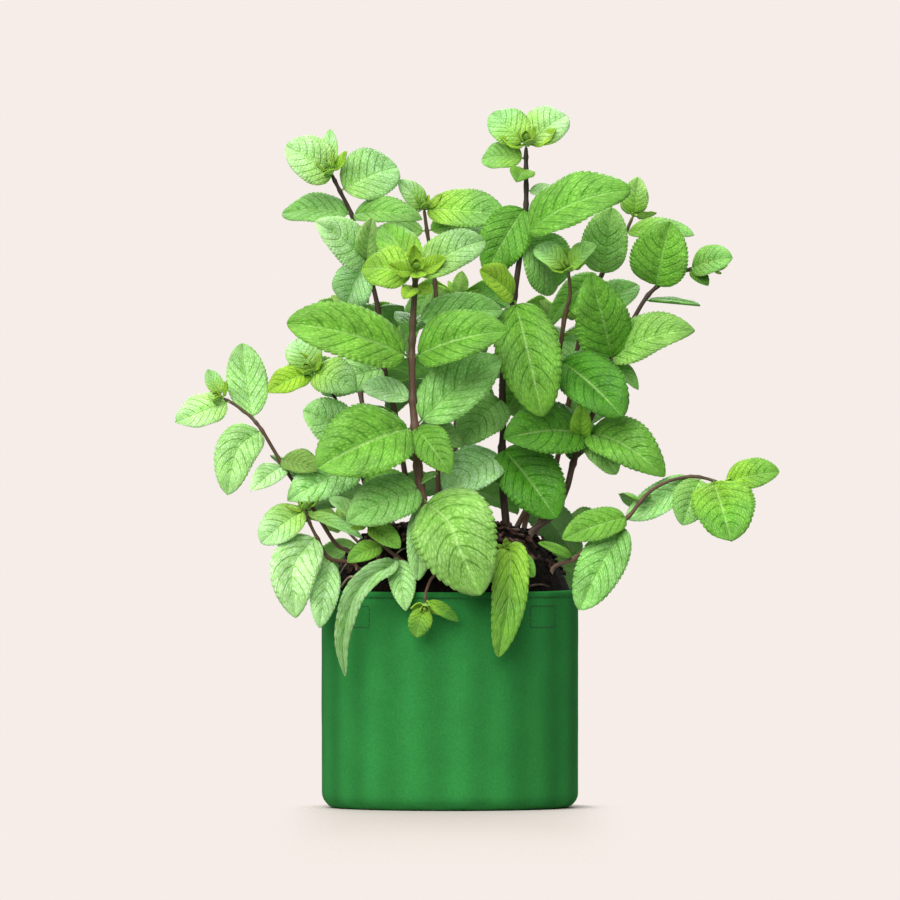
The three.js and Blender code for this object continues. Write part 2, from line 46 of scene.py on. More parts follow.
# The studio: a pale seamless floor under a pale backdrop, soft daylight from the front and upper left, and
# weaker light from above and behind that lays a soft shadow in front of the bag, deepened there by the
# floor's painted shadow. The camera is far away with a long lens, so the upright bag stays straight, as in
# the photograph.
BACKDROP = "#f6ede8"
AIM_HEIGHT = 178.7
VIEW_WIDTH = 450
VIEW_DISTANCE = 12000
VIEW_RISE = 1.0
SENSOR = 36
FARTHEST_SEEN = 60
FLOOR_RADIUS = 6
ROOM_LIGHT = 0.42
SMOOTH = {"interpolation_type": "SMOOTHSTEP"}

# The floor shows only where the shadow lies: round the bag's foot, and on a strip in front of it that has
# sides, a back and a front. Lit, its paper comes out darker than the backdrop, so the strip in front is
# partly the real shadow of the light from behind and partly a painted shadow. Each pair is where it starts to
# fade and where it is gone, in metres.
FOOT_FADES = (0.066, 0.08)
SIDE_FADES = (0.05, 0.09)
BACK_FADES = (-0.02, 0.05)
FRONT_FADES = (-0.4, -1.1)


def linear(hex_colour):
    """An sRGB hex colour as the linear red, green, blue and alpha that Blender mixes."""
    parts = [int(hex_colour[i:i + 2], 16) / 255 for i in (1, 3, 5)]
    return [c / 12.92 if c < 0.04045 else ((c + 0.055) / 1.055) ** 2.4 for c in parts] + [1.0]


def new_material(name):
    """An empty material, and the tree that its nodes go in."""
    made = bpy.data.materials.new(name)
    made.use_nodes = True
    made.node_tree.nodes.clear()
    return made, made.node_tree


def add(tree, kind, inputs=(), stops=(), **settings):
    """Adds a node. Settings are its own options, and stops a ramp's places and colours.

    Inputs go to its sockets in order, or by name or number. A node among them gives its first output in use.
    """
    made = tree.nodes.new("ShaderNode" + kind)
    for name, value in settings.items():
        setattr(made, name, value)
    for name, value in inputs.items() if isinstance(inputs, dict) else enumerate(inputs):
        if isinstance(value, bpy.types.Node):
            value = next(socket for socket in value.outputs if socket.enabled)
        if isinstance(value, bpy.types.NodeSocket):
            tree.links.new(value, made.inputs[name])
        else:
            made.inputs[name].default_value = value
    for i, (place, colour) in enumerate(stops):
        element = made.color_ramp.elements[i] if i < 2 else made.color_ramp.elements.new(place)
        element.position = place
        element.color = linear(colour)
    return made


def pick(piece=None):
    """Selects one piece alone, or nothing, so that the next operator acts on it or on its own new piece."""
    if bpy.context.object and bpy.context.object.mode != "OBJECT":
        bpy.ops.object.mode_set(mode="OBJECT")
    bpy.ops.object.select_all(action="DESELECT")
    if piece:
        piece.select_set(True)
        bpy.context.view_layer.objects.active = piece


lens = bpy.data.cameras.new("long_lens")
lens.sensor_width = SENSOR
lens.lens = SENSOR * VIEW_DISTANCE / VIEW_WIDTH
lens.clip_end = FARTHEST_SEEN
camera = bpy.data.objects.new("camera", lens)
bpy.context.scene.collection.objects.link(camera)
rise = math.radians(VIEW_RISE)
aim = Vector((0, 0, AIM_HEIGHT * MM))
back_off = Vector((0, -math.cos(rise), math.sin(rise)))
camera.location = aim + back_off * VIEW_DISTANCE * MM
camera.rotation_euler = (-back_off).to_track_quat("-Z", "Y").to_euler()
bpy.context.scene.camera = camera
bpy.context.scene.view_settings.view_transform = "Standard"
bpy.context.scene.view_settings.look = "None"

pick()
bpy.ops.mesh.primitive_circle_add(vertices=96, radius=FLOOR_RADIUS, fill_type="NGON")
floor = bpy.context.object
floor.name = "floor"
paper, tree = new_material("floor_paper_with_painted_shadow")
place = add(tree, "TexCoord").outputs["Object"]
split = add(tree, "SeparateXYZ", (place,))
away = add(tree, "VectorMath", (place,), operation="LENGTH")
near_foot = add(tree, "MapRange", (away, *FOOT_FADES, 1, 0), **SMOOTH)
sideways = add(tree, "Math", (split.outputs["X"],), operation="ABSOLUTE")
in_middle = add(tree, "MapRange", (sideways, *SIDE_FADES, 1, 0), **SMOOTH)
in_front = add(tree, "MapRange", (split.outputs["Y"], *BACK_FADES, 1, 0))
not_far = add(tree, "MapRange", (split.outputs["Y"], *reversed(FRONT_FADES)), **SMOOTH)
strip = add(tree, "Math", (in_front, not_far), operation="MULTIPLY")
strip = add(tree, "Math", (strip, in_middle), operation="MULTIPLY")
shown = add(tree, "Math", (near_foot, strip), operation="MAXIMUM")
# The floor's paper is darker than the backdrop: a painted shadow where it shows in front of the bag.
matt = add(tree, "BsdfDiffuse", (linear("#bdb6b2"),))
clear = add(tree, "BsdfTransparent")
add(tree, "OutputMaterial", (add(tree, "MixShader", (shown, clear, matt)),))
floor.data.materials.append(paper)

world = bpy.data.worlds.new("pale_room")
bpy.context.scene.world = world
world.use_nodes = True
tree = world.node_tree
tree.nodes.clear()
seen = add(tree, "Background", (linear(BACKDROP), 1))
lit = add(tree, "Background", (linear("#ffffff"), ROOM_LIGHT))
camera_ray = add(tree, "LightPath").outputs["Is Camera Ray"]
add(tree, "OutputWorld", (add(tree, "MixShader", (camera_ray, lit, seen)),))

# Three very wide soft lights, far enough away to fall evenly on the floor: where each comes from, its
# strength, how many degrees wide it is, and its colour.
for name, source, strength, spread, colour in (
    ("window_upper_left", (-0.31, -0.68, 0.66), 4.2, 60, "#fffdf8"),
    ("sky_above", (0.1, 0.25, 0.96), 0.6, 60, "#ffffff"),
    ("pale_wall_behind", (0.0, 0.9, 0.43), 2.4, 45, "#ffffff"),
):
    lamp = bpy.data.lights.new(name, "SUN")
    lamp.energy = strength
    lamp.angle = math.radians(spread)
    lamp.color = linear(colour)[:3]
    lamp_object = bpy.data.objects.new(name, lamp)
    bpy.context.scene.collection.objects.link(lamp_object)
    lamp_object.location = source
    lamp_object.rotation_euler = Vector(source).to_track_quat("Z", "Y").to_euler()


# The planting bag: soft green felt, sewn into an upright tube with a flat floor, a rounded foot and a turned
# hem. The fabric stands in shallow upright folds, and is drawn in a little along the row of hem stitches.
POT_RADIUS = 64.8
POT_HEIGHT = 109
POT_WALL = 2.4
POT_FLOOR = 3
FOOT_ROUND = 7.5
FOLDS = 18
FOLD_DEPTH = 0.7
FOLD_TURN = math.radians(4)
FOLD_LEANS = ((0.35, 3, 1.0), (0.25, 5, 0.4))
FOLD_IN_HEM = 0.15
FOLD_IN_WALL = 0.75
SLUMPS = ((0.18, 38, 3.0), (0.1, 11, 9.0))
SLUMP_IN = 0.12
HEM_HEIGHT = 3
HEM_PROUD = 0.3
HEM_ROUND = 0.5
STIFF_BELOW_HEM = 3
STIFFENS_OVER = 4
BAG_SIDES = 216
WALL_STEP = 4.7

wall = POT_RADIUS - HEM_PROUD
inner = wall - FOLD_DEPTH - POT_WALL
hem_bottom = POT_HEIGHT - HEM_HEIGHT
bag_profile = [(radius, 0.0) for radius in (24, 40, 50)]
for step in range(7):
    turn = math.radians(15 * step)
    bag_profile.append((
        wall - FOOT_ROUND + FOOT_ROUND * math.sin(turn), FOOT_ROUND - FOOT_ROUND * math.cos(turn),
    ))
upright = hem_bottom - 1 - FOOT_ROUND
rows = round(upright / WALL_STEP)
bag_profile += [(wall, FOOT_ROUND + upright * row / rows) for row in range(1, rows + 1)]
bag_profile += [
    (wall - 0.25, hem_bottom - 0.4), (wall - 0.2, hem_bottom), (POT_RADIUS - 0.1, hem_bottom + 0.25),
    (POT_RADIUS, hem_bottom + 0.7), (POT_RADIUS, POT_HEIGHT - 1.1),
    (POT_RADIUS - 0.15, POT_HEIGHT - HEM_ROUND), (POT_RADIUS - 0.6, POT_HEIGHT),
    (inner + 0.7, POT_HEIGHT), (inner + 0.1, POT_HEIGHT - 0.5), (inner, POT_HEIGHT - 1.4),
    (inner, 60), (inner, POT_FLOOR), (40, POT_FLOOR),
]


def select_rim():
    """Goes into edit mode with the open edge of the mesh selected."""
    bpy.ops.object.mode_set(mode="EDIT")
    bpy.ops.mesh.select_mode(type="EDGE")
    bpy.ops.mesh.select_all(action="SELECT")
    bpy.ops.mesh.region_to_loop()


def turn_out():
    """Turns all faces of the mesh in edit mode outwards, and leaves edit mode."""
    bpy.ops.mesh.select_all(action="SELECT")
    bpy.ops.mesh.normals_make_consistent(inside=False)
    bpy.ops.object.mode_set(mode="OBJECT")


pick()
bpy.ops.mesh.primitive_circle_add(vertices=BAG_SIDES, radius=8 * MM, fill_type="TRIFAN")
bag = bpy.context.object
bag.name = "planting_bag"
select_rim()
radius, height = 8, 0.0
for next_radius, next_height in bag_profile:
    bpy.ops.mesh.extrude_edges_move(TRANSFORM_OT_translate={"value": (0, 0, (next_height - height) * MM)})
    bpy.ops.transform.resize(value=(next_radius / radius, next_radius / radius, 1))
    radius, height = next_radius, next_height
bpy.ops.mesh.edge_face_add()
turn_out()


def corners_of(obj):
    """The places of a mesh's vertices as rows of x, y and z, in millimetres."""
    flat = np.empty(len(obj.data.vertices) * 3)
    obj.data.vertices.foreach_get("co", flat)
    return flat.reshape(-1, 3) / MM


def set_corners(obj, places):
    """Puts a mesh's vertices at places given in millimetres."""
    obj.data.vertices.foreach_set("co", (np.asarray(places) * MM).ravel())
    obj.data.update()


def fold_share(angle):
    """How far a soft upright fold stands out at an angle round the bag: 1 on its crest and 0 between two."""
    lean = sum(depth * np.sin(count * angle + start) for depth, count, start in FOLD_LEANS)
    return 0.5 - 0.5 * np.cos(FOLDS * (angle + math.radians(90) - FOLD_TURN) + math.pi + lean)


def felt_wave(places, size, seed):
    """Soft uneven bumps over the felt, from -1 to 1, about `size` millimetres across."""
    return np.array([noise.noise(Vector(place) / size + Vector((seed, 0, 0))) for place in places])


places = corners_of(bag)
angle = np.arctan2(places[:, 1], places[:, 0])
reach = np.hypot(places[:, 0], places[:, 1])
outside = reach > inner + FOLD_DEPTH
soft = 1 - np.clip((places[:, 2] - hem_bottom + STIFF_BELOW_HEM) / STIFFENS_OVER, 0, 1)
crest = fold_share(angle)
slump = sum(depth * felt_wave(places, size, seed) for depth, size, seed in SLUMPS) - SLUMP_IN
fold_in = -FOLD_DEPTH * (1 - crest) * (FOLD_IN_HEM + FOLD_IN_WALL * soft)
grown = 1 + np.where(outside, fold_in + slump * soft, 0) / np.maximum(reach, 1)
places[:, 0] *= grown
places[:, 1] *= grown
set_corners(bag, places)
# How far each point stands on a fold's crest is kept on the mesh, for the felt's painted shade in the hollows
# between the folds.
fold_shade_row = bag.data.attributes.new("fold", "FLOAT", "POINT")
fold_shade_row.data.foreach_set("value", np.where(outside, crest, 0.5))
pick(bag)
bpy.ops.object.shade_smooth_by_angle(angle=math.radians(50))

# Needled polypropylene felt: matt, slightly furry, with short matted fibres and a faint mottle about 22 mm
# across. Its green is painted a little darker in the hollows between the folds and lighter on their crests, a
# painted shade over the shading that the folds already get. The fibres are drawn about 1 mm across, coarser
# than the real 0.1 mm, so that they show at this distance.
FIBRES_PER_METRE = 900
MOTTLES_PER_METRE = 45
MULTIPLIED = {"data_type": "RGBA", "blend_type": "MULTIPLY"}

felt, tree = new_material("needled_green_felt")
place = add(tree, "TexCoord").outputs["Object"]
painted_fold_shade = add(tree, "Attribute", attribute_name="fold").outputs["Fac"]
fibre = add(tree, "TexNoise", {"Vector": place, "Scale": FIBRES_PER_METRE, "Detail": 4, "Roughness": 0.7})
mottle = add(tree, "TexNoise", {"Vector": place, "Scale": MOTTLES_PER_METRE, "Detail": 3})
# Painted shade: the hollows between the folds darker, the crests lighter.
felt_colour = add(tree, "ValToRGB", (painted_fold_shade,), ((0.0, "#2d7d3b"), (1.0, "#328a42")))
speck = add(tree, "ValToRGB", (fibre,), ((0.3, "#e0e0e0"), (0.72, "#ffffff")))
cloud = add(tree, "ValToRGB", (mottle,), ((0.3, "#eeeeee"), (0.7, "#ffffff")))
for shade in (speck, cloud):
    felt_colour = add(tree, "Mix", {0: 1, 6: felt_colour, 7: shade}, **MULTIPLIED)
felt_rough = add(tree, "MapRange", (fibre, 0, 1, 0.82, 0.98))
felt_bump = add(tree, "Bump", {"Height": fibre, "Strength": 0.4, "Distance": 0.3 * MM})
felt_shader = add(tree, "BsdfPrincipled", {
    "Base Color": felt_colour, "Roughness": felt_rough, "Normal": felt_bump, "Specular IOR Level": 0.05,
})
add(tree, "OutputMaterial", (felt_shader,))
bag.data.materials.append(felt)
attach(bag, "root")
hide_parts("pot")


# The sewing thread: a row of stitches holds the turned hem down, and four small box seams, two in front and
# two behind, are sewn through the wall below it. Each stitch is a short bead of green thread pulled into the
# felt. A box seam has its edges' angles and heights, and its stitches across and upwards.
STITCH_PITCH = 3.2
STITCH_LENGTH = 2.7
THREAD = 0.6
BOX_SEAM_ANGLES = (38.7, 55.1)
BOX_SEAM_HEIGHTS = (91.2, 101.8)
BOX_SEAM_STITCHES = (7, 4)

pick()
bpy.ops.mesh.primitive_uv_sphere_add(segments=6, ring_count=5, radius=0.5)
stitch = bpy.context.object
bpy.ops.object.mode_set(mode="EDIT")
bpy.ops.transform.resize(value=(STITCH_LENGTH * MM, THREAD * MM, THREAD * MM))
pick()
felt_skin = BVHTree.FromPolygons(
    [v.co for v in bag.data.vertices], [face.vertices for face in bag.data.polygons],
)


def copy_of(piece):
    """A copy of a piece with its own mesh."""
    made = piece.copy()
    made.data = piece.data.copy()
    bpy.context.scene.collection.objects.link(made)
    return made


def joined(pieces, name):
    """Joins copies into one piece under one name."""
    pick(pieces[0])
    for piece in pieces:
        piece.select_set(True)
    bpy.ops.object.join()
    whole = bpy.context.object
    whole.name = name
    whole.data.name = name
    return whole


def wall_radius(angle, height):
    """The bag's outside radius at an angle round it and a height, where its folded felt lies."""
    out = Vector((math.cos(angle), math.sin(angle), 0))
    start = (out * 2 * POT_RADIUS + Vector((0, 0, height))) * MM
    return felt_skin.ray_cast(start, -out)[0].xy.length / MM


def sew(angle, height, upright=False):
    """Lays one stitch on the wall, along it or upright, and half sunk into the felt."""
    bead = copy_of(stitch)
    radius = wall_radius(angle, height)
    out = np.array((math.cos(angle), math.sin(angle), 0))
    along = np.array((-math.sin(angle), math.cos(angle), 0))
    up = np.array((0, 0, 1))
    axes = np.array((up, -along, out)) if upright else np.array((along, up, out))
    set_corners(bead, corners_of(bead) @ axes + out * radius + up * height)
    return bead


count = round(2 * math.pi * POT_RADIUS / STITCH_PITCH)
beads = [sew(2 * math.pi * number / count, hem_bottom + 0.1) for number in range(count)]
across, upward = BOX_SEAM_STITCHES
bottom, top = BOX_SEAM_HEIGHTS
for facing in (-90, 90):
    for side in (-1, 1):
        low, high = (math.radians(facing + side * edge) for edge in BOX_SEAM_ANGLES)
        for height in BOX_SEAM_HEIGHTS:
            beads += [sew(low + (high - low) * (number + 0.5) / across, height) for number in range(across)]
        for turn in (low, high):
            beads += [
                sew(turn, bottom + (top - bottom) * ((number + 0.5) / upward), upright=True)
                for number in range(upward)
            ]
seams = joined(beads, "hem_and_box_stitches")
seams.data.shade_smooth()
bpy.data.objects.remove(stitch)

# Twisted polyester thread, a little darker and glossier than the felt. The twist is a fine slanted wave,
# about 0.4 mm from crest to crest.
TWIST_SCALE = 900

thread, tree = new_material("dark_green_polyester_thread")
place = add(tree, "TexCoord").outputs["Object"]
twist = add(tree, "TexWave", {"Vector": place, "Scale": TWIST_SCALE, "Distortion": 1.5},
            bands_direction="DIAGONAL")
thread_colour = add(tree, "ValToRGB", (twist,), ((0.2, "#103a1c"), (0.9, "#1d5c30")))
twist_bump = add(tree, "Bump", {"Height": twist, "Strength": 0.4, "Distance": 0.1 * MM})
thread_shader = add(tree, "BsdfPrincipled", {
    "Base Color": thread_colour, "Roughness": 0.55, "Normal": twist_bump,
})
add(tree, "OutputMaterial", (thread_shader,))
seams.data.materials.append(thread)
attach(seams, "root")


# The potting soil: dark and crumbly, heaped in the middle and lower at the bag's wall, with bark flakes,
# twigs and pale old roots lying on it. It fills the bag down to the floor. Its clods and grit are waves in
# three sizes, each with its height, seed and width.
SEAT_GAP = 0.3
SOIL_RADIUS = inner - SEAT_GAP
SOIL_EDGE = POT_HEIGHT - 3
SOIL_HEAP = 35
SOIL_SHOULDER = 5
SOIL_LUMP = 0.9
LUMPS_LEFT = 0.6
LUMP_SPACING = (3.1, 5.3, 2.7, 6.1)
CLODS = ((1.5, 0, 7), (1.0, 5, 3.2), (0.5, 9, 1.4))
CALM_AT_EDGE = 8
SOIL_SUNK = 0.4
SOIL_GRID = 110


def soil_height(x, y):
    """The height of the heaped soil, without its lumps, at a spot on it."""
    return SOIL_EDGE + SOIL_HEAP * (1 - min(1, math.hypot(x, y) / SOIL_RADIUS) ** SOIL_SHOULDER)


def soil_top(x, y):
    """The soil's height with its lumps, clods and grit, which die out at the wall."""
    share = min(1, math.hypot(x, y) / SOIL_RADIUS)
    a, b, c, d = LUMP_SPACING
    rough = LUMPS_LEFT * SOIL_LUMP * (math.sin(x / a + y / b) + math.sin(y / c - x / d))
    rough += sum(high * noise.noise(Vector((x, y, seed)) / wide) for high, seed, wide in CLODS)
    return soil_height(x, y) + rough * min(1, CALM_AT_EDGE * (1 - share)) - SOIL_SUNK


pick()
bpy.ops.mesh.primitive_grid_add(x_subdivisions=SOIL_GRID, y_subdivisions=SOIL_GRID, size=2)
soil = bpy.context.object
soil.name = "heaped_soil"
places = corners_of(soil) * MM
for i, (x, y, _) in enumerate(places):
    square, round_reach = max(abs(x), abs(y)), math.hypot(x, y)
    if round_reach:
        x, y = (SOIL_RADIUS * v * square / round_reach for v in (x, y))
    places[i] = (x, y, soil_top(x, y))
set_corners(soil, places)
select_rim()
bpy.ops.mesh.extrude_edges_move(TRANSFORM_OT_translate={"value": (0, 0, 0)})
bpy.ops.object.mode_set(mode="OBJECT")
for corner in soil.data.vertices:
    if corner.select:
        corner.co.z = (POT_FLOOR + SEAT_GAP) * MM
bpy.ops.object.mode_set(mode="EDIT")
bpy.ops.mesh.edge_face_add()
turn_out()
bpy.ops.object.shade_smooth_by_angle(angle=math.radians(60))

# Damp peat and compost: near black and rough, with brown fibres and a few lighter crumbs 2 to 3 mm across.
PEAT_CRUMBS_PER_METRE = 420
PEAT_FIBRES_PER_METRE = 330

peat, tree = new_material("damp_peat_compost")
place = add(tree, "TexCoord").outputs["Object"]
crumb = add(tree, "TexNoise", {
    "Vector": place, "Scale": PEAT_CRUMBS_PER_METRE, "Detail": 6, "Roughness": 0.72,
})
fibres = add(tree, "TexVoronoi", {"Vector": place, "Scale": PEAT_FIBRES_PER_METRE}, feature="F1")
peat_colour = add(tree, "ValToRGB", (crumb,), ((0.32, "#050403"), (0.78, "#33241b"), (0.55, "#100b08")))
peat_rough = add(tree, "MapRange", (crumb, 0, 1, 0.75, 1))
peat_height = add(tree, "Math", (crumb, fibres.outputs["Distance"]), operation="ADD")
peat_bump = add(tree, "Bump", {"Height": peat_height, "Strength": 0.9, "Distance": 1.2 * MM})
peat_shader = add(tree, "BsdfPrincipled", {
    "Base Color": peat_colour, "Roughness": peat_rough, "Normal": peat_bump, "Specular IOR Level": 0.08,
})
add(tree, "OutputMaterial", (peat_shader,))
soil.data.materials.append(peat)
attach(soil, "root")
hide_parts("soil")


# Soil crumbs: loose grains and small clods of the same damp compost, left lying on the heap when the bag was
# filled. Each is a rough ball of a few faces.
CRUMBS = 420
CRUMB_SIZES = (0.7, 2.0)
CRUMB_ROUGH = (0.6, 1.2)
CRUMB_FLAT = 0.75
CRUMB_LIFT = 0.2
CRUMB_FROM_WALL = 3
draw = random.Random(11)
pick()
bpy.ops.mesh.primitive_ico_sphere_add(subdivisions=1, radius=1)
crumb_ball = bpy.context.object
pick()


def spot_on_soil(source, edge):
    """A random spot on the heap, evenly spread over its round, no nearer the wall than `edge` millimetres."""
    reach = (SOIL_RADIUS - edge) * math.sqrt(source.random())
    turn = source.uniform(0, 2 * math.pi)
    return reach * math.cos(turn), reach * math.sin(turn)


def soil_frame(x, y):
    """Two directions along the heap's surface at a spot and the one out of it, as rows."""
    step = 2.0
    slope_x = (soil_height(x + step, y) - soil_height(x - step, y)) / (2 * step)
    slope_y = (soil_height(x, y + step) - soil_height(x, y - step)) / (2 * step)
    out = Vector((-slope_x, -slope_y, 1)).normalized()
    along = Vector((1, 0, slope_x)).normalized()
    return np.array((along, out.cross(along), out))


crumbs = []
for _ in range(CRUMBS):
    x, y = spot_on_soil(draw, CRUMB_FROM_WALL)
    size = draw.uniform(*CRUMB_SIZES)
    grain = copy_of(crumb_ball)
    shape = corners_of(grain) * MM
    shape *= np.array([[size * draw.uniform(*CRUMB_ROUGH)] for _ in shape])
    shape[:, 2] *= CRUMB_FLAT
    set_corners(grain, shape + (x, y, soil_top(x, y) + CRUMB_LIFT * size))
    crumbs.append(grain)
crumbs = joined(crumbs, "soil_crumbs")
bpy.data.objects.remove(crumb_ball)
crumbs.data.materials.append(peat)
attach(crumbs, "root")


# Bark flakes: thin curled chips of composted pine bark, dark brown, that are mixed into potting soil to keep
# it loose. These are the ones on top, strewn flat.
FLAKES = 280
FLAKE_LENGTHS = (3.5, 9)
FLAKE_WIDTHS = (0.22, 0.5)
FLAKE_THICK = (0.7, 1.3)
FLAKE_TAPER = 1.1
FLAKE_ROUGH = 0.25
FLAKE_CURL = 0.02
FLAKE_TIPPED = 0.3
FLAKE_LIFT = 0.7
FLAKE_FROM_WALL = 5
pick()
bpy.ops.mesh.primitive_cube_add(size=1)
flake = bpy.context.object
bpy.ops.object.mode_set(mode="EDIT")
bpy.ops.mesh.select_all(action="SELECT")
bpy.ops.mesh.subdivide(number_cuts=2)
pick()
flakes = []
for _ in range(FLAKES):
    x, y = spot_on_soil(draw, FLAKE_FROM_WALL)
    length = draw.uniform(*FLAKE_LENGTHS)
    chip = copy_of(flake)
    shape = corners_of(chip) * MM
    shape[:, 1] *= 1 - FLAKE_TAPER * shape[:, 0] ** 2
    shape *= (length, length * draw.uniform(*FLAKE_WIDTHS), draw.uniform(*FLAKE_THICK))
    shape += [[draw.uniform(-FLAKE_ROUGH, FLAKE_ROUGH) for _ in range(3)] for _ in shape]
    shape[:, 2] += FLAKE_CURL * shape[:, 0] ** 2
    turn, tipped = draw.uniform(0, 2 * math.pi), draw.uniform(-FLAKE_TIPPED, FLAKE_TIPPED)
    spin = np.array(((math.cos(turn), math.sin(turn), 0), (-math.sin(turn), math.cos(turn), 0), (0, 0, 1)))
    lift = np.array((
        (math.cos(tipped), 0, math.sin(tipped)), (0, 1, 0), (-math.sin(tipped), 0, math.cos(tipped)),
    ))
    set_corners(chip, shape @ lift @ spin @ soil_frame(x, y) + (x, y, soil_top(x, y) + FLAKE_LIFT))
    flakes.append(chip)
flakes = joined(flakes, "bark_flakes")
bpy.data.objects.remove(flake)

# Composted pine bark: dark brown, dull, and mottled by a grain about 4 mm across.
BARK_GRAINS_PER_METRE = 260


def grained(name, per_metre, detail, stops, strength, relief, rough, specular):
    """A dull material whose grain gives it both its colours and its fine relief."""
    made, tree = new_material(name)
    place = add(tree, "TexCoord").outputs["Object"]
    grain = add(tree, "TexNoise", {"Vector": place, "Scale": per_metre, "Detail": detail})
    colour = add(tree, "ValToRGB", (grain,), stops)
    ridge = add(tree, "Bump", {"Height": grain, "Strength": strength, "Distance": relief * MM})
    shader = add(tree, "BsdfPrincipled", {
        "Base Color": colour, "Roughness": rough, "Normal": ridge, "Specular IOR Level": specular,
    })
    add(tree, "OutputMaterial", (shader,))
    return made


bark_stops = ((0.3, "#1c120d"), (0.75, "#7f5f52"), (0.52, "#3d2a22"))
bark = grained("composted_pine_bark", BARK_GRAINS_PER_METRE, 5, bark_stops, 0.7, 0.5, 0.8, 0.15)
flakes.data.materials.append(bark)
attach(flakes, "root")


# Old roots and runners: pale dry threads and a few dark damp twigs that lie bent over the soil, with their
# ends in it. Each has the spots of the soil that it passes, its thickness, and how high it bows between them.
# Their grain is about 2.5 mm across.
ROOTS = (
    ("pale", ((-57, -20), (-54, -26), (-49, -31), (-44, -38)), 1.3, 2.0),
    ("pale", ((-58, -8), (-52, -18), (-44, -24), (-36, -30)), 1.0, 1.5),
    ("pale", ((-40, -42), (-31, -46), (-22, -44), (-14, -52)), 0.9, 1.2),
    ("pale", ((18, -40), (25, -46), (33, -44), (40, -38)), 0.9, 1.0),
    ("dark", ((26, -30), (31, -36), (35, -44)), 1.6, 3.0),
    ("dark", ((30, -52), (42, -42), (54, -24)), 1.3, 1.5),
    ("dark", ((-30, 40), (-18, 46), (0, 50)), 1.5, 1.5),
    ("pale", ((10, 54), (24, 46), (38, 40), (50, 26)), 1.1, 1.5),
)
ROOT_END_SUNK = 2.5
ROOT_END_SLIM = 0.7
ROOT_GRAINS_PER_METRE = 380


def laid_root(spots, thick, bow):
    """One root as a smooth tube through spots on the soil, its ends pushed into it."""
    line = bpy.data.curves.new("root", "CURVE")
    line.dimensions = "3D"
    line.bevel_depth = thick / 2 * MM
    line.bevel_resolution = 1
    line.resolution_u = 6
    line.use_fill_caps = True
    run = line.splines.new("BEZIER")
    run.bezier_points.add(len(spots) - 1)
    for i, (point, (x, y)) in enumerate(zip(run.bezier_points, spots)):
        at_end = i in (0, len(spots) - 1)
        point.co = Vector((x, y, soil_height(x, y) + (-ROOT_END_SUNK if at_end else bow))) * MM
        point.radius = ROOT_END_SLIM if at_end else 1
        point.handle_left_type = point.handle_right_type = "AUTO"
    made = bpy.data.objects.new("root", line)
    bpy.context.scene.collection.objects.link(made)
    pick(made)
    bpy.ops.object.convert(target="MESH")
    return bpy.context.object


for look, name, finish, dark_hex, light_hex in (
    ("pale", "old_roots", "dry_mint_root", "#6e5a45", "#b9a58a"),
    ("dark", "dark_twigs", "damp_twig_bark", "#1d1410", "#5a4234"),
):
    strands = joined([laid_root(*row[1:]) for row in ROOTS if row[0] == look], name)
    strands.data.shade_smooth()
    strand_stops = ((0.3, dark_hex), (0.7, light_hex))
    strand = grained(finish, ROOT_GRAINS_PER_METRE, 4, strand_stops, 0.5, 0.3, 0.75, 0.5)
    strands.data.materials.append(strand)
    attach(strands, "root")


# The leafy stems: grown mint, each a four-sided stem rooted in the soil, with its leaves on it and a young
# tip at its top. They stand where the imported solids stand, and repeat their named places.

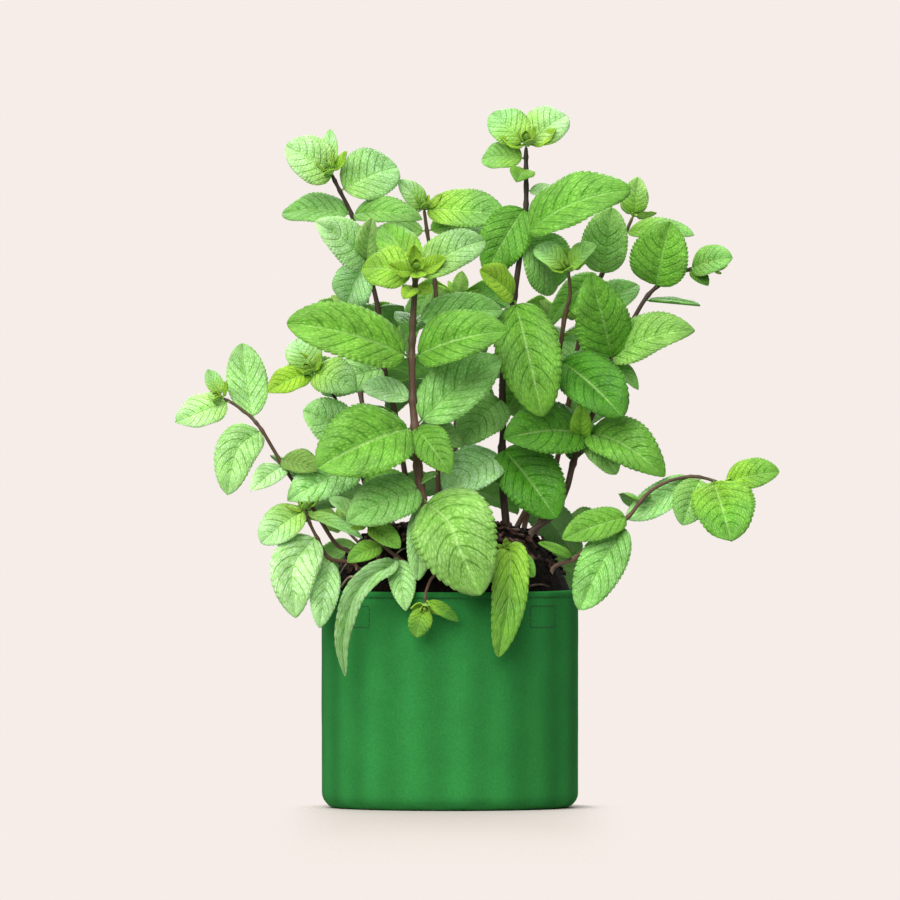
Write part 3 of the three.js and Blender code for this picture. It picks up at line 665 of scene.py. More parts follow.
# A stem has where it stands in the soil, the points that it passes, its thickness at the foot and the top and
# the length of its bud. A leaf has its tone, its place along the stem, its tip, width, how far its face is
# tipped to the viewer in degrees and how high it arches, and where they differ from the usual, the fold of
# its halves and the points of its midrib.
STEMS = (
    ("stem_front", (-9, -50), (
        (-13, -49, 147), (-14, -48, 155), (-16, -47, 171), (-17.5, -46, 191), (-18.5, -45, 204),
        (-19, -44, 225), (-18.5, -44, 243), (-17.5, -47, 260), (-17, -53, 269),
    ), (5.2, 2.6), 8, (
        ("leaf", 1, (15, -78, 108), 43, 80, 6, 13, ((-1.5, -68, 145), (5.5, -77, 129))),
        ("pale", 0.8, (-16, -63, 115), 14, 75, 3),
        ("light", 1.4, (-51, -66, 144), 27, 65, 4),
        ("light", 1.5, (-6, -56, 168), 6, 50, 1),
        ("mid", 3, (-66, -72, 171), 41, 62, 5),
        ("grass", 3, (0, -64, 168), 20, 68, 3),
        ("light", 3, (6, -34, 182), 14, 60, 2),
        ("light", 3, (25, -34, 225), 30, 62, 4),
        ("mint", 4, (-43, -32, 212), 14, 62, 2),
        ("mid", 5, (-81, -68, 243), 34, 58, 6),
        ("grass", 5, (29, -64, 239), 31, 58, 5),
        ("light", 6, (26, -22, 249), 21, 58, 3),
        ("fresh", 7.6, (-43, -42, 270), 25, 60, 3),
        ("mid", 7.6, (-33, -26, 291), 21, 66, 3),
        ("silver", 7.6, (17, -44, 284), 22, 62, 5),
        ("young", 7, (-23, -58, 255), 9, 55, 2),
        ("young", 7, (-9, -52, 258), 8, 60, 1),
        ("dark", 2, (-10, -10, 185), 22, 10, 5),
        ("dark", 5.6, (-16, -6, 243), 20, 10, 5),
    )),
    ("stem_upper_left", (-17, 4), (
        (-22, 6, 164), (-28, 8, 199), (-33, 9, 219), (-36, 9, 249), (-42, 9, 273), (-46, 8, 284),
        (-49, 8, 296), (-55, 7, 308), (-60, 6, 318),
    ), (3, 1.8), 7, (
        ("mint", 7.6, (-82, 0, 331), 25, 62, 2),
        ("mint", 8, (-60, 8, 339), 8.5, 65, 2),
        ("silver", 7, (-26.5, 16, 320), 30, 60, 2),
        ("leaf", 6, (-14, -12, 294), 17, 54, 4),
        ("light", 6, (-84, 20, 296.5), 20, 50, 4),
        ("mint", 4, (-67, -14, 293), 24, 66, 3),
        ("mint", 4, (-52, 24, 251), 22, 66, 3),
        ("bright", 4, (-39, -8, 295), 12, 66, 2),
        ("dark", 3, (-32, 46, 235), 22, -10, 5),
        ("pale", 2, (-64, -4, 207), 22, 55, 4),
        ("mid", 1, (-50, -10, 173), 24, 55, 4),
    )),
    ("stem_middle_back", (-5, 15), (
        (-6, 17, 164), (-5, 19, 199), (-6.5, 20, 239), (-7.5, 21, 262), (-11.5, 22, 288), (-13, 23, 299),
    ), (3.2, 1.6), 6, (
        ("mint", 5, (-26, 16, 313.5), 12, 66, 2),
        ("leaf", 5, (27, 10, 296), 24, 56, 1),
        ("light", 4, (21, 38, 289), 18, 50, 3),
        ("pale", 4, (-42, 34, 279), 18, 50, 4),
        ("light", 3, (-20, 40, 223), 22, 40, 4),
        ("light", 2.4, (18, 30, 227), 22, 40, 4),
        ("dark", 2, (-10, 56, 249), 22, -15, 5),
        ("dark", 1.3, (-30, 44, 195), 22, -10, 5),
        ("dark", 1, (22, 8, 205), 24, 50, 5),
    )),
    ("stem_tall", (28, -3), (
        (27, -4, 153), (25.5, -5, 173), (26.5, -6, 188), (26.5, -7, 218), (32, -7, 255), (35, -7, 276),
        (36.5, -7, 285), (38, -6, 301), (38, -5, 319), (38, -5, 331),
    ), (4.2, 2), 8, (
        ("pale", 9, (21, 4, 347), 21, 60, 2),
        ("light", 8.4, (16, 2, 324), 16, 60, 3),
        ("mint", 9, (58, 8, 346), 22, 62, 2),
        ("mid", 8, (33, -18, 313), 13, 55, 1),
        ("mint", 7.4, (55, -8, 306), 9, 50, 1),
        ("mid", 6, (90, -16, 309), 30, 54, 9),
        ("grass", 7, (18, 6, 267), 26, 64, 3),
        ("light", 6, (54, 14, 261), 30, 66, 4),
        ("young", 4, (15, -24, 269), 19, 58, 2),
        ("grass", 4, (46, -38, 196), 33, 76, 7),
        ("light", 2.6, (5, -22, 182), 25, 60, 3),
        ("mint", 1.2, (-3, -30, 159), 26, 60, 3),
        ("dark", 1.5, (53, -30, 145), 32, 66, 4),
    )),
    ("stem_right_inner", (37, 8), (
        (42, 7, 159), (48, 4, 189), (54, -4, 224), (58, -9, 248), (60, -10, 257), (59, -11, 269),
    ), (3, 1.6), 6, (
        ("light", 5, (73, -26, 281), 13, 58, 2),
        ("pale", 5, (42, -8, 280), 13, 60, 3),
        ("deep", 2, (86, -36, 196), 30, 64, 5),
        ("mid", 2, (28, 6, 199), 30, 58, 4),
        ("mid", 3, (74, 2, 245), 20, 50, 4),
    )),
    ("stem_right_upper", (42, 22), (
        (49, 24, 154), (56, 25, 184), (61, 26, 211), (66, 26, 239), (76, 25, 266), (85, 24, 281),
        (92, 24, 296),
    ), (3.2, 1.6), 6, (
        # The two bright leaves here lie in the shade of the broad leaf on the tall stem beside them; their
        # bright tone is painted light.
        ("bright", 6, (94, 16, 315), 14, 66, 1),
        ("light", 5.4, (122, 10, 286), 14, 50, 3),
        ("bright", 4, (81, 8, 300), 24, 70, 3),
        ("mid", 4, (50, 44, 239), 20, 40, 4),
        ("light", 3, (94, 40, 261), 20, 50, 4),
        ("light", 2, (66, 58, 231), 22, -10, 5),
        ("light", 1, (84, 36, 205), 22, 40, 5),
    )),
    ("stem_right", (40, -12), (
        (51, -11, 146), (58, -10, 159), (61.5, -9, 172), (67, -7, 187), (74, -4, 203), (81, -1, 224),
        (90, 1, 241), (99, 2, 256), (109, 3, 264), (120, 3, 269), (130, 3, 271),
    ), (3.8, 1.5), 5, (
        ("light", 9, (141, -10, 275), 17, 62, 2),
        ("dark", 9, (129, -6, 261), 8, 55, 1),
        ("mid", 7.4, (110, -10, 293), 30, 68, 3),
        ("dark", 6.8, (125, -4, 251), 14, 8, 0),
        ("leaf", 5, (122, -20, 239), 27, 56, 6),
        ("light", 5, (94, -10, 209), 8, 60, 2),
        ("grass", 5, (70, -16, 267), 29, 68, 4),
        ("dark", 4.6, (94, 34, 225), 22, -10, 5),
        ("mid", 3, (107, -28, 166), 27, 60, 10),
        ("light", 3, (83, -22, 167), 15, 66, 2),
        ("dark", 3, (27, -34, 185), 32, 62, 5),
        ("fresh", 2.7, (66, -26, 202), 11, 66, 2),
        ("dark", 2, (78, 22, 183), 20, -10, 5),
    )),
    ("stem_left_low", (-32, -8), (
        (-38, -10, 149), (-47, -12, 177), (-54, -14, 196), (-57, -15, 204), (-61, -16, 210), (-69, -17, 218),
    ), (2.8, 1.4), 6, (
        ("young", 5, (-91, -26, 208), 16, 56, 2),
        ("mint", 5, (-77, -12, 234), 19, 66, 2),
        ("pale", 5, (-47, -28, 209), 22, 62, 2),
        ("pale", 1.3, (-73, -26, 199), 26, 62, 3),
        ("pale", 0.8, (-81, -32, 154), 25, 64, 3),
        ("mid", 0.6, (-14, -28, 149), 20, 55, 3),
    )),
    ("stem_far_left", (-50, -12), (
        (-57, -14, 132), (-66, -16, 146), (-73, -17, 157), (-80, -18, 166), (-88, -18, 179), (-94, -18, 189),
        (-100, -17, 196), (-108, -16, 202), (-114, -15, 205),
    ), (2.2, 1.5), 5, (
        ("mint", 7.3, (-137, -24, 193), 19, 60, 0),
        ("pale", 8, (-121, -10, 219), 9, 64, 1),
        ("pale", 5.7, (-104, -6, 232), 21, 66, -2),
        ("pale", 5, (-111, -34, 157), 22, 66, 0, 13, ((-106, -28, 179),)),
        ("mint", 3.4, (-99, -40, 159), 14, 56, 2),
        ("olive", 3.6, (-66, -30, 169), 15, 56, 2),
        ("light", 3.6, (-78, 12, 165), 16, -5, 4),
    )),
    ("stem_left_hanging", (-47, -28), (
        (-60, -31, 125), (-66, -32, 135), (-70, -32, 143), (-72, -31, 150),
    ), (2.2, 1.4), 5, (
        ("mint", 1.2, (-77, -44, 96), 25, 80, 2, 13, ((-78, -42, 120),)),
        ("mint", 0, (-65, -48, 91), 15, 80, 2),
        ("mint", 3, (-94, -38, 133), 20, 60, 2),
        ("pale", 2.6, (-43.5, -48, 135.5), 8, 55, 2, 30),
        ("mid", 2, (-82, -4, 137), 18, 10, 4),
    )),
    ("stem_far_right", (51, -23), (
        (62, -27, 125), (72, -30, 134), (84, -32, 142.5), (89, -32, 146), (95, -32, 153.5), (101, -32, 159.5),
        (110, -31, 164), (120, -31, 166), (128, -31, 165), (136, -31, 162),
    ), (2.3, 1.5), 4, (
        ("mid", 9, (164, -38, 168.5), 18, 58, 2),
        ("grass", 8.4, (140, -52, 134.5), 32, 64, 2),
        ("light", 7.6, (116, -48, 142), 20, 62, 2),
        ("pale", 7.2, (88, -42, 145), 18, 58, -2),
        ("light", 2.6, (64.5, -50, 100), 24, 78, 3),
        ("mid", 3, (56, -46, 135), 19, 58, 2),
        ("mid", 4, (92, -6, 149), 18, 5, 4),
        ("mid", 0, (44, -34, 133), 6, 55, 1),
    )),
    ("shoot_front_left", (-22, -50), ((-26, -52, 126), (-33, -52, 132), (-41, -50, 142)), (2.2, 1.5), 5, (
        ("silver", 0, (-52, -53, 67), 14, 62, 0, 36,
         ((-30, -62, 122), (-38, -67, 118), (-46.5, -67, 109), (-51, -64, 97), (-53.5, -58, 83))),
        ("pale", 0, (-22, -73, 100), 14, 75, 2),
        ("mid", 2, (-25, -62, 131), 12, 60, 2),
        ("mid", 1, (-51, -60, 124), 12, 55, 2),
        ("pale", 2, (-60, -44, 155), 10, 55, 2, 30),
    )),
    ("shoot_front_hanging", (-5, -57), ((-9, -63, 116), (-12, -69, 109), (-12.5, -70, 103)), (1.8, 1.3), 4, (
        ("grass", 2, (-17, -72, 87), 12, 78, 1),
        ("dark", 1.6, (4, -73, 95), 7, 70, 1),
    )),
    ("shoot_front_right", (24, -50), ((27, -53, 124), (28, -56, 131)), (2.2, 1.5), 3, (
        ("mid", 1, (24, -67, 77), 20, 76, 0, 24, ((30, -64, 126), (29, -68, 103))),
        ("mid", 0, (42, -68, 117), 15, 58, 2),
    )),
    ("stem_back_left", (-28, 26), (
        (-34, 34, 151), (-40, 44, 179), (-45, 52, 207), (-47, 58, 231), (-46, 62, 247),
    ), (3.4, 1.8), 8, (
        ("light", 4, (-70, 76, 239), 20, -45, 4),
        ("young", 4, (-22, 70, 235), 20, -45, 4),
        ("mid", 3, (-50, 98, 235), 24, -10, 6),
        ("mid", 3, (-60, 28, 239), 20, 20, 5),
        ("mid", 2, (-82, 60, 213), 25, -35, 6),
        ("mid", 2, (-16, 70, 203), 25, -35, 6),
        ("mid", 1, (-62, 82, 177), 25, -30, 6),
        ("dark", 0, (-74, 52, 147), 23, -35, 6),
    )),
    ("stem_back_middle", (2, 38), (
        (2, 48, 157), (3, 60, 187), (4, 68, 215), (4, 73, 239), (4, 75, 253),
    ), (3.6, 1.8), 8, (
        ("young", 4, (-20, 90, 251), 20, -45, 4),
        ("light", 4, (30, 84, 249), 20, -45, 4),
        ("mid", 3, (8, 112, 237), 23, -10, 6),
        ("mid", 2, (-34, 88, 207), 25, -35, 6),
        ("light", 2, (42, 86, 211), 25, -35, 6),
        ("mid", 1, (8, 104, 177), 26, -25, 6),
        ("dark", 0, (-32, 74, 149), 23, -35, 6),
        ("mid", 0, (34, 80, 145), 23, -35, 6),
    )),
    ("stem_back_right", (32, 30), (
        (40, 38, 153), (47, 46, 181), (53, 52, 209), (56, 56, 233), (57, 58, 245),
    ), (3.2, 1.7), 7, (
        ("light", 4, (80, 68, 251), 20, -45, 4),
        ("young", 4, (38, 74, 243), 19, -45, 4),
        ("mid", 3, (64, 92, 229), 23, -15, 6),
        ("light", 2, (90, 56, 213), 25, -32, 6),
        ("mid", 1, (82, 74, 175), 25, -35, 6),
        ("deep", 0, (64, 82, 121), 22, -50, 5),
    )),
    ("shoot_back_low_left", (-28, 48), ((-36, 58, 123), (-44, 68, 129), (-54, 76, 139)), (2.2, 1.4), 6, (
        ("young", 2, (-82, 86, 143), 19, -35, 4),
        ("light", 2, (-52, 106, 137), 19, -20, 4),
        ("mid", 1, (-68, 66, 111), 20, -60, 5),
        ("pale", 0, (-36, 86, 97), 21, -75, 5),
    )),
    ("shoot_back_low_right", (23, 51), ((32, 62, 123), (42, 72, 129), (54, 80, 135)), (2.2, 1.4), 6, (
        ("light", 2, (82, 84, 141), 19, -35, 4),
        ("young", 2, (52, 110, 133), 19, -20, 4),
        # This leaf has the deepest tone so that the hollow behind it reads dark: painted shade.
        ("deep", 1, (70, 70, 105), 20, -60, 5),
        ("mid", 0, (22, 88, 97), 21, -75, 5),
    )),
)
ROOT_DEPTH = 13
BLADE = 0.65
SWINGS = (0, -4, 4, -8, 8, -12, 12, -17, 17, -23, 23, -30, 30)
NEARER_BY = 0.02
LEAF_FOLD = 13


def smooth_line(points):
    """The smooth line through points, as a function of the share of its points that it has passed."""
    points = [Vector(point) for point in points]
    ends = [2 * points[0] - points[1], *points, 2 * points[-1] - points[-2]]

    def at(share):
        place = min(max(share, 0), 1) * (len(points) - 1)
        span = min(int(place), len(points) - 2)
        t = place - span
        before, start, end, after = ends[span:span + 4]
        leave, arrive = (end - before) / 2, (after - start) / 2
        return (start + leave * t + (3 * (end - start) - 2 * leave - arrive) * t ** 2
                + (2 * (start - end) + leave + arrive) * t ** 3)
    return at


def bow(base, tip, lift):
    """A line from a base to a tip that bows out between them by three quarters of `lift`."""
    first, second = base + (tip - base) / 3 + lift, base + (tip - base) * 2 / 3 + lift

    def at(share):
        back = 1 - share
        return (base * back ** 3 + first * (3 * back * back * share)
                + second * (3 * back * share * share) + tip * share ** 3)
    return at


def length_of(line, steps):
    """The length of a line, measured in so many steps."""
    return sum((line(i / steps) - line((i + 1) / steps)).length for i in range(steps))


def heading(line, share):
    """The direction of a line at a share of it."""
    step = 0.0001
    return (line(min(1, share + step)) - line(max(0, share - step))).normalized()


def square_to(axis, direction):
    """The part of a direction that is square to an axis, as a unit vector."""
    return (direction - axis * direction.dot(axis)).normalized()


def paint(piece, colours):
    """Writes a piece's own tone, a colour and alpha for each corner of its mesh."""
    tone = piece.data.attributes.new("tone", "FLOAT_COLOR", "POINT")
    tone.data.foreach_set("color", np.array(colours).ravel())


# The stalks: mint's four-sided stem, thickened where each pair of leaves leaves it. One skin of rings is
# modelled and each stalk is a copy of it, drawn along the stem's line and closed at its foot and in its bud.
STALK_RINGS = 84
STALK_SIDES = 12
KNOT_SWELL = 0.32
KNOT_LENGTH = 1.7
SQUARENESS = 4
FOOT_CLOSES = 30
BUD_CLOSES = 60
BUD_END = 0.05
THINNEST = 0.02
WELDED_WITHIN = 0.03
STALK_TONES = {
    "stem_tall": "#8f887c", "stem_upper_left": "#a8a298", "stem_left_low": "#a8a298", "stem_right": "#c6c0bd",
}
pick()
bpy.ops.mesh.primitive_grid_add(x_subdivisions=STALK_RINGS, y_subdivisions=STALK_SIDES, size=1)
stalk_skin = bpy.context.object
stalk_skin.data.uv_layers.active.name = "growth"
pick()


def stalk_of(name, foot, route, thick, leaves):
    """Draws one stem's stalk round its line, and gives that line."""
    stalk = copy_of(stalk_skin)
    ground = soil_height(*foot)
    line = smooth_line([(*foot, ground - ROOT_DEPTH), (*foot, ground + 1), *route])
    length = length_of(line, 60)
    knots = sorted({round(row[1] * 2) / 2 for row in leaves})
    grid = corners_of(stalk) * MM + 0.5
    places = np.empty_like(grid)
    rings = {}
    for along in sorted(set(np.round(grid[:, 0], 6))):
        forward = heading(line, along)
        across = square_to(forward, Vector((0, 1, 0)))
        side = thick[0] + (thick[1] - thick[0]) * along
        for knot in knots:
            apart = (along - (knot + 2) / (len(route) + 1)) * length
            side *= 1 + KNOT_SWELL * math.exp(-(apart / KNOT_LENGTH) ** 2)
        closing = min(1, FOOT_CLOSES * along, BUD_CLOSES * (1 - along) + BUD_END)
        rings[along] = (line(along), across, forward.cross(across), side * max(closing, THINNEST))
    for i, (along, round_share, _) in enumerate(grid):
        centre, across, aside, side = rings[round(along, 6)]
        turn = 2 * math.pi * round_share
        u, v = math.cos(turn), math.sin(turn)
        square = (abs(u) ** SQUARENESS + abs(v) ** SQUARENESS) ** (1 / SQUARENESS)
        places[i] = centre + (across * u + aside * v) * (side / 2 / square)
    set_corners(stalk, places)
    pick(stalk)
    bpy.ops.object.mode_set(mode="EDIT")
    bpy.ops.mesh.select_all(action="SELECT")
    bpy.ops.mesh.remove_doubles(threshold=WELDED_WITHIN * MM)
    bpy.ops.mesh.select_all(action="DESELECT")
    bpy.ops.mesh.select_mode(type="EDGE")
    bpy.ops.mesh.select_non_manifold()
    bpy.ops.mesh.fill()
    turn_out()
    bpy.ops.object.shade_smooth()
    stalk.name = name + "_stalk"
    paint(stalk, [linear(STALK_TONES.get(name, "#ffffff"))] * len(stalk.data.vertices))
    stalk.data.materials.append(stalk_bark)
    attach(stalk, "root")
    return line


# Mint stalk: purple-brown and almost woody low down, greener towards the young top, with fine lengthwise ribs
# and a soft shine. The ribs run along the growth map, 0.3 to 0.7 mm apart, and patches about 8 mm across make
# the colour and the shine uneven.
RIBS = (14, 26, 1)
STALK_PATCHES_PER_METRE = 120

stalk_bark, tree = new_material("purple_brown_mint_stalk")
place = add(tree, "TexCoord").outputs["Object"]
growth = add(tree, "UVMap", uv_map="growth")
grown_share = add(tree, "SeparateXYZ", (growth,))
stretch = add(tree, "Mapping", {"Vector": growth, "Scale": RIBS})
ribs = add(tree, "TexNoise", {"Vector": stretch, "Scale": 1, "Detail": 3})
patches = add(tree, "TexNoise", {"Vector": place, "Scale": STALK_PATCHES_PER_METRE, "Detail": 3})
uneven_age = add(tree, "Math", (patches, 0.2, grown_share), operation="MULTIPLY_ADD")
age = add(tree, "MapRange", (uneven_age, 0, 1.2))
stalk_colour = add(tree, "ValToRGB", (age,), (
    (0.14, "#ab8d80"), (1.0, "#8fae4c"), (0.26, "#7c5642"), (0.6, "#644632"), (0.88, "#5c4c30"),
))
own_tone = add(tree, "Attribute", attribute_name="tone")
ribbed = add(tree, "ValToRGB", (ribs,), ((0.3, "#8f8f8f"), (0.7, "#ffffff")))
for shade in (own_tone, ribbed):
    stalk_colour = add(tree, "Mix", {0: 1, 6: stalk_colour, 7: shade}, **MULTIPLIED)
stalk_rough = add(tree, "MapRange", (patches, 0, 1, 0.42, 0.65))
stalk_bump = add(tree, "Bump", {"Height": ribs, "Strength": 0.5, "Distance": 0.3 * MM})
stalk_shader = add(tree, "BsdfPrincipled", {
    "Base Color": stalk_colour, "Roughness": stalk_rough, "Normal": stalk_bump,
})
add(tree, "OutputMaterial", (stalk_shader,))


# The leaves: thin toothed blades with a sunk midrib, seven pairs of side veins and the soft quilting that
# the veins press into a mint leaf. Two blades are modelled flat, a grown one and a young one with fewer
# teeth, and each leaf is a copy of one, bent along its own midrib and folded up a little at it.
TEETH = 18
YOUNG_TEETH = 8
TOOTH_STEPS = (0.0, 0.3, 0.62, 0.9)
TOOTH_EDGE = (-1.0, 0.0, 0.75, 1.0)
TOOTH_DEPTH = 0.028
TOOTH_FORWARD = 0.0045
TOOTH_RISE = 14
TOOTH_STARTS = 6
TOOTH_ENDS = 3
COLUMNS = 12
YOUNG_COLUMNS = 6
PETIOLE_STEPS = (-1.0, -0.5)
PETIOLE_EDGE = -0.4
PETIOLE_LENGTH = 2.2
PETIOLE_MOST = 0.12
PETIOLE_WIDTH = 0.9
LARGE_LEAF = 50
LARGE_PETIOLE = 2.6
LARGE_PETIOLE_SHARE = 0.04
SMALL_LEAF = 17
LEAF_THICK = 0.42
ROOT_BLUNT = 0.5
BLUNTNESS = (0.54, 0.76)
TIP_HALF = 0.12
UNEVEN = 0.07

# The relief of a blade: its sunk midrib, the cells that its veins leave puffed, its upward curve between
# midrib and edge, and the waves of its edge. Heights are shares of the leaf's width.
VEIN_PAIRS = 7
VEIN_SWEEP = 0.33
VEIN_CURVE = 1.2
QUILT = 0.027
QUILT_ENDS = 5
PUFFED_FROM = 0.22
FLAT_EDGE = 0.4
CUPPED = 0.36
MIDRIB_SUNK = 0.022
MIDRIB_HALF = 0.1
WAVES = (1.3, 2.4)
WAVE_HEIGHT = 0.028
WAVES_VARY = (0.5, 1.4)

# The colours of leaves, how far one leaf's differs from its tone, and the patches on it. A leaf's tone is
# partly its own colour and partly painted light, set leaf by leaf: the palest tones lighten leaves that lie
# in shade inside the bush, the pale bluish tone stands for a painted sheen, and one hidden leaf at the back
# has the deepest tone as painted shade.
# The pale bluish tone is a painted sheen, the sky's reflection on upturned leaves.
TONES = {
    "mint": "#cdf8bf", "pale": "#b5e7a0", "silver": "#a8d498", "bright": "#caf3a0", "light": "#98ce78",
    "leaf": "#8dc163", "fresh": "#a2d44c", "mid": "#80bb46", "grass": "#72ae3a", "olive": "#90b358",
    "dark": "#5b9e27", "deep": "#488b15", "young": "#b0db41",
}
BRIGHTNESS = (0.92, 1.08)
REDNESS = (0.94, 1.06)
PATCH_SIZE = 11
PATCH_DEPTH = 0.3
YOUNG_REACH = 0.62
YOUNG_SPAN = 1.8
YOUNG_MOST = 0.85
YOUNG_FADE = 0.7


def flat_blade(name, teeth, columns):
    """A flat blade with four rows of points to each tooth, after its petiole's two, and its rows' places.

    A row has its share of the blade's length, below 0 on the petiole, and how far its edge stands out.
    """
    pick()
    bpy.ops.mesh.primitive_grid_add(x_subdivisions=4 * teeth + 2, y_subdivisions=columns, size=1)
    blade = bpy.context.object
    blade.name = name
    blade.data.uv_layers.active.name = "blade"
    rows = [(step, PETIOLE_EDGE) for step in PETIOLE_STEPS]
    for tooth in range(teeth):
        rows += [((tooth + step) / teeth, edge) for step, edge in zip(TOOTH_STEPS, TOOTH_EDGE)]
    rows.append((1.0, 0.0))
    grid = corners_of(blade) * MM + 0.5
    for loop in blade.data.loops:
        along, across, _ = grid[loop.vertex_index]
        share = rows[round(along * (len(rows) - 1))][0]
        blade.data.uv_layers["blade"].data[loop.index].uv = (max(share, 0), across)
    blade.data.shade_smooth()
    return blade, rows


grown_blade = flat_blade("grown_blade", TEETH, COLUMNS)
young_blade = flat_blade("young_blade", YOUNG_TEETH, YOUNG_COLUMNS)
pick()


def outline(along, blunt):
    """Half a blade's width along it, 0 at both ends and 1 at its widest. A lower `blunt` rounds its tip."""
    widest = ROOT_BLUNT / (ROOT_BLUNT + blunt)
    return (along / widest) ** ROOT_BLUNT * ((1 - along) / (1 - widest)) ** blunt if 0 < along < 1 else 0


def midrib_of(base, tip, face, arch, passes):
    """A leaf's midrib, and the way that its upper face looks."""
    looks = Vector((0, -math.sin(math.radians(face)), math.cos(math.radians(face))))
    up = square_to((tip - base).normalized(), looks)
    return smooth_line([base, *passes, tip]) if passes else bow(base, tip, up * (4 / 3 * arch)), up


def bent_leaf(midrib, up, width, fold, tone, youth, source):
    """A copy of a flat blade, bent along a midrib and given its veins, waves and colour.

    The younger a leaf is, the more its root has the yellow green of the growing tip.
    """
    length = length_of(midrib, 24)
    model, rows = grown_blade if length > SMALL_LEAF else young_blade
    leaf = copy_of(model)
    start = min(PETIOLE_LENGTH, PETIOLE_MOST * length) / length
    if length > LARGE_LEAF:
        start = LARGE_PETIOLE / length + LARGE_PETIOLE_SHARE
    phase = [source.uniform(0, 2 * math.pi) for _ in range(2)]
    waves = source.uniform(*WAVES)
    wave_height = WAVE_HEIGHT * width * source.uniform(*WAVES_VARY)
    blunt = source.uniform(*BLUNTNESS)
    uneven = source.uniform(-UNEVEN, UNEVEN)
    stations = []
    for share, edge in rows:
        at = start * (1 + share) if share < 0 else start + (1 - start) * share
        ahead = heading(midrib, at)
        upward = square_to(ahead, up)
        half = max(width / 2 * outline(share, blunt), PETIOLE_WIDTH / 2 if share < 0.5 else TIP_HALF)
        stations.append((midrib(at), ahead, upward, upward.cross(ahead), half, share, edge))
    grid = corners_of(leaf) * MM + 0.5
    places = np.empty_like(grid)
    for i, (along, across, _) in enumerate(grid):
        centre, ahead, upward, aside, half, share, edge = stations[round(along * (len(rows) - 1))]
        v = 2 * across - 1
        out, side = abs(v), math.copysign(1, v)
        is_blade = 1 if share > 0 else 0
        tooth = edge * out ** TOOTH_RISE * is_blade
        reach = half * v * (1 + TOOTH_DEPTH * tooth * min(1, TOOTH_STARTS * share))
        reach *= 1 + side * abs(uneven) * is_blade
        vein = VEIN_PAIRS * (share - VEIN_SWEEP * out ** VEIN_CURVE)
        puff = abs(math.sin(math.pi * vein)) * min(1, out / PUFFED_FROM) * min(1, (1 - out) / FLAT_EDGE)
        height = reach * side * math.sin(fold)
        height += is_blade * CUPPED * half * out * (1 - out)
        height += is_blade * QUILT * width * puff * min(1, QUILT_ENDS * (1 - share))
        height -= is_blade * MIDRIB_SUNK * width * math.exp(-(out / MIDRIB_HALF) ** 2)
        height += wave_height * out ** 3 * math.sin(2 * math.pi * waves * share + phase[v > 0])
        forward = TOOTH_FORWARD * length * tooth * min(1, TOOTH_ENDS * (1 - share))
        places[i] = centre + ahead * forward + aside * (reach * math.cos(fold)) + upward * height
    set_corners(leaf, places)
    full_tone = np.array(linear(TONES[tone])[:3]) * source.uniform(*BRIGHTNESS)
    full_tone[0] *= source.uniform(*REDNESS)
    young_tone = np.array(linear(TONES["young"])[:3])
    net_seed = source.random()
    colours = []
    for (along, _, _), spot in zip(grid, places):
        share = max(0, rows[round(along * (len(rows) - 1))][0])
        growing = youth * max(0, 1 - share / YOUNG_REACH) ** YOUNG_FADE
        patch = 1 + PATCH_DEPTH * noise.noise(Vector(spot) / PATCH_SIZE)
        colours.append((*((1 - growing) * full_tone + growing * young_tone) * patch, net_seed))
    paint(leaf, colours)
    return leaf


def swing_taken(tip_at, solid_corners):
    """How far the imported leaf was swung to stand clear, found by where the middle of its tip lies."""
    taken, nearest = 0, math.inf
    for swing in SWINGS:
        apart = solid_corners.find(tip_at(swing))[2]
        if apart < nearest - NEARER_BY:
            taken, nearest = swing, apart
    return taken


# The young tip of a stem: four crossed pairs of small leaves, each with its length in buds and how far it is
# spread in degrees. They close round the bud and lean outwards, to the light.
YOUNG_PAIRS = ((2.0, 60), (1.7, 44), (1.3, 27), (0.8, 12))
YOUNG_LEAN = 0.75
YOUNG_TURN = (1, 0.3, 0)
YOUNG_STEP = 0.1
YOUNG_SPREAD = 6
YOUNG_LENGTHS = (0.9, 1.1)
YOUNG_HOLLOW = 0.22
YOUNG_WIDTH = 0.62
YOUNG_FOLD = 18
BEHIND = 20


def young_tip(line, bud, light_side, source):
    """The small leaves that close round the bud at the end of a stem's line."""
    climb = (heading(line, 1) + light_side * YOUNG_LEAN).normalized()
    first_side = square_to(climb, Vector(YOUNG_TURN))
    tips = []
    for pair, (size, spread) in enumerate(YOUNG_PAIRS):
        sideways = first_side if pair % 2 == 0 else climb.cross(first_side)
        for facing in (-1, 1):
            away = sideways * facing
            lean = math.radians(spread + source.uniform(-YOUNG_SPREAD, YOUNG_SPREAD))
            reach = bud * size * source.uniform(*YOUNG_LENGTHS)
            start = line(1) + climb * (YOUNG_STEP * pair * bud)
            end = start + (climb * math.cos(lean) + away * math.sin(lean)) * reach
            faces = climb * math.sin(lean) - away * math.cos(lean)
            upward = square_to((end - start).normalized(), faces)
            curve = bow(start, end, upward * (-YOUNG_HOLLOW * reach))
            fold = math.radians(YOUNG_FOLD)
            tips.append(bent_leaf(curve, upward, YOUNG_WIDTH * reach, fold, "young", 1, source))
    return tips


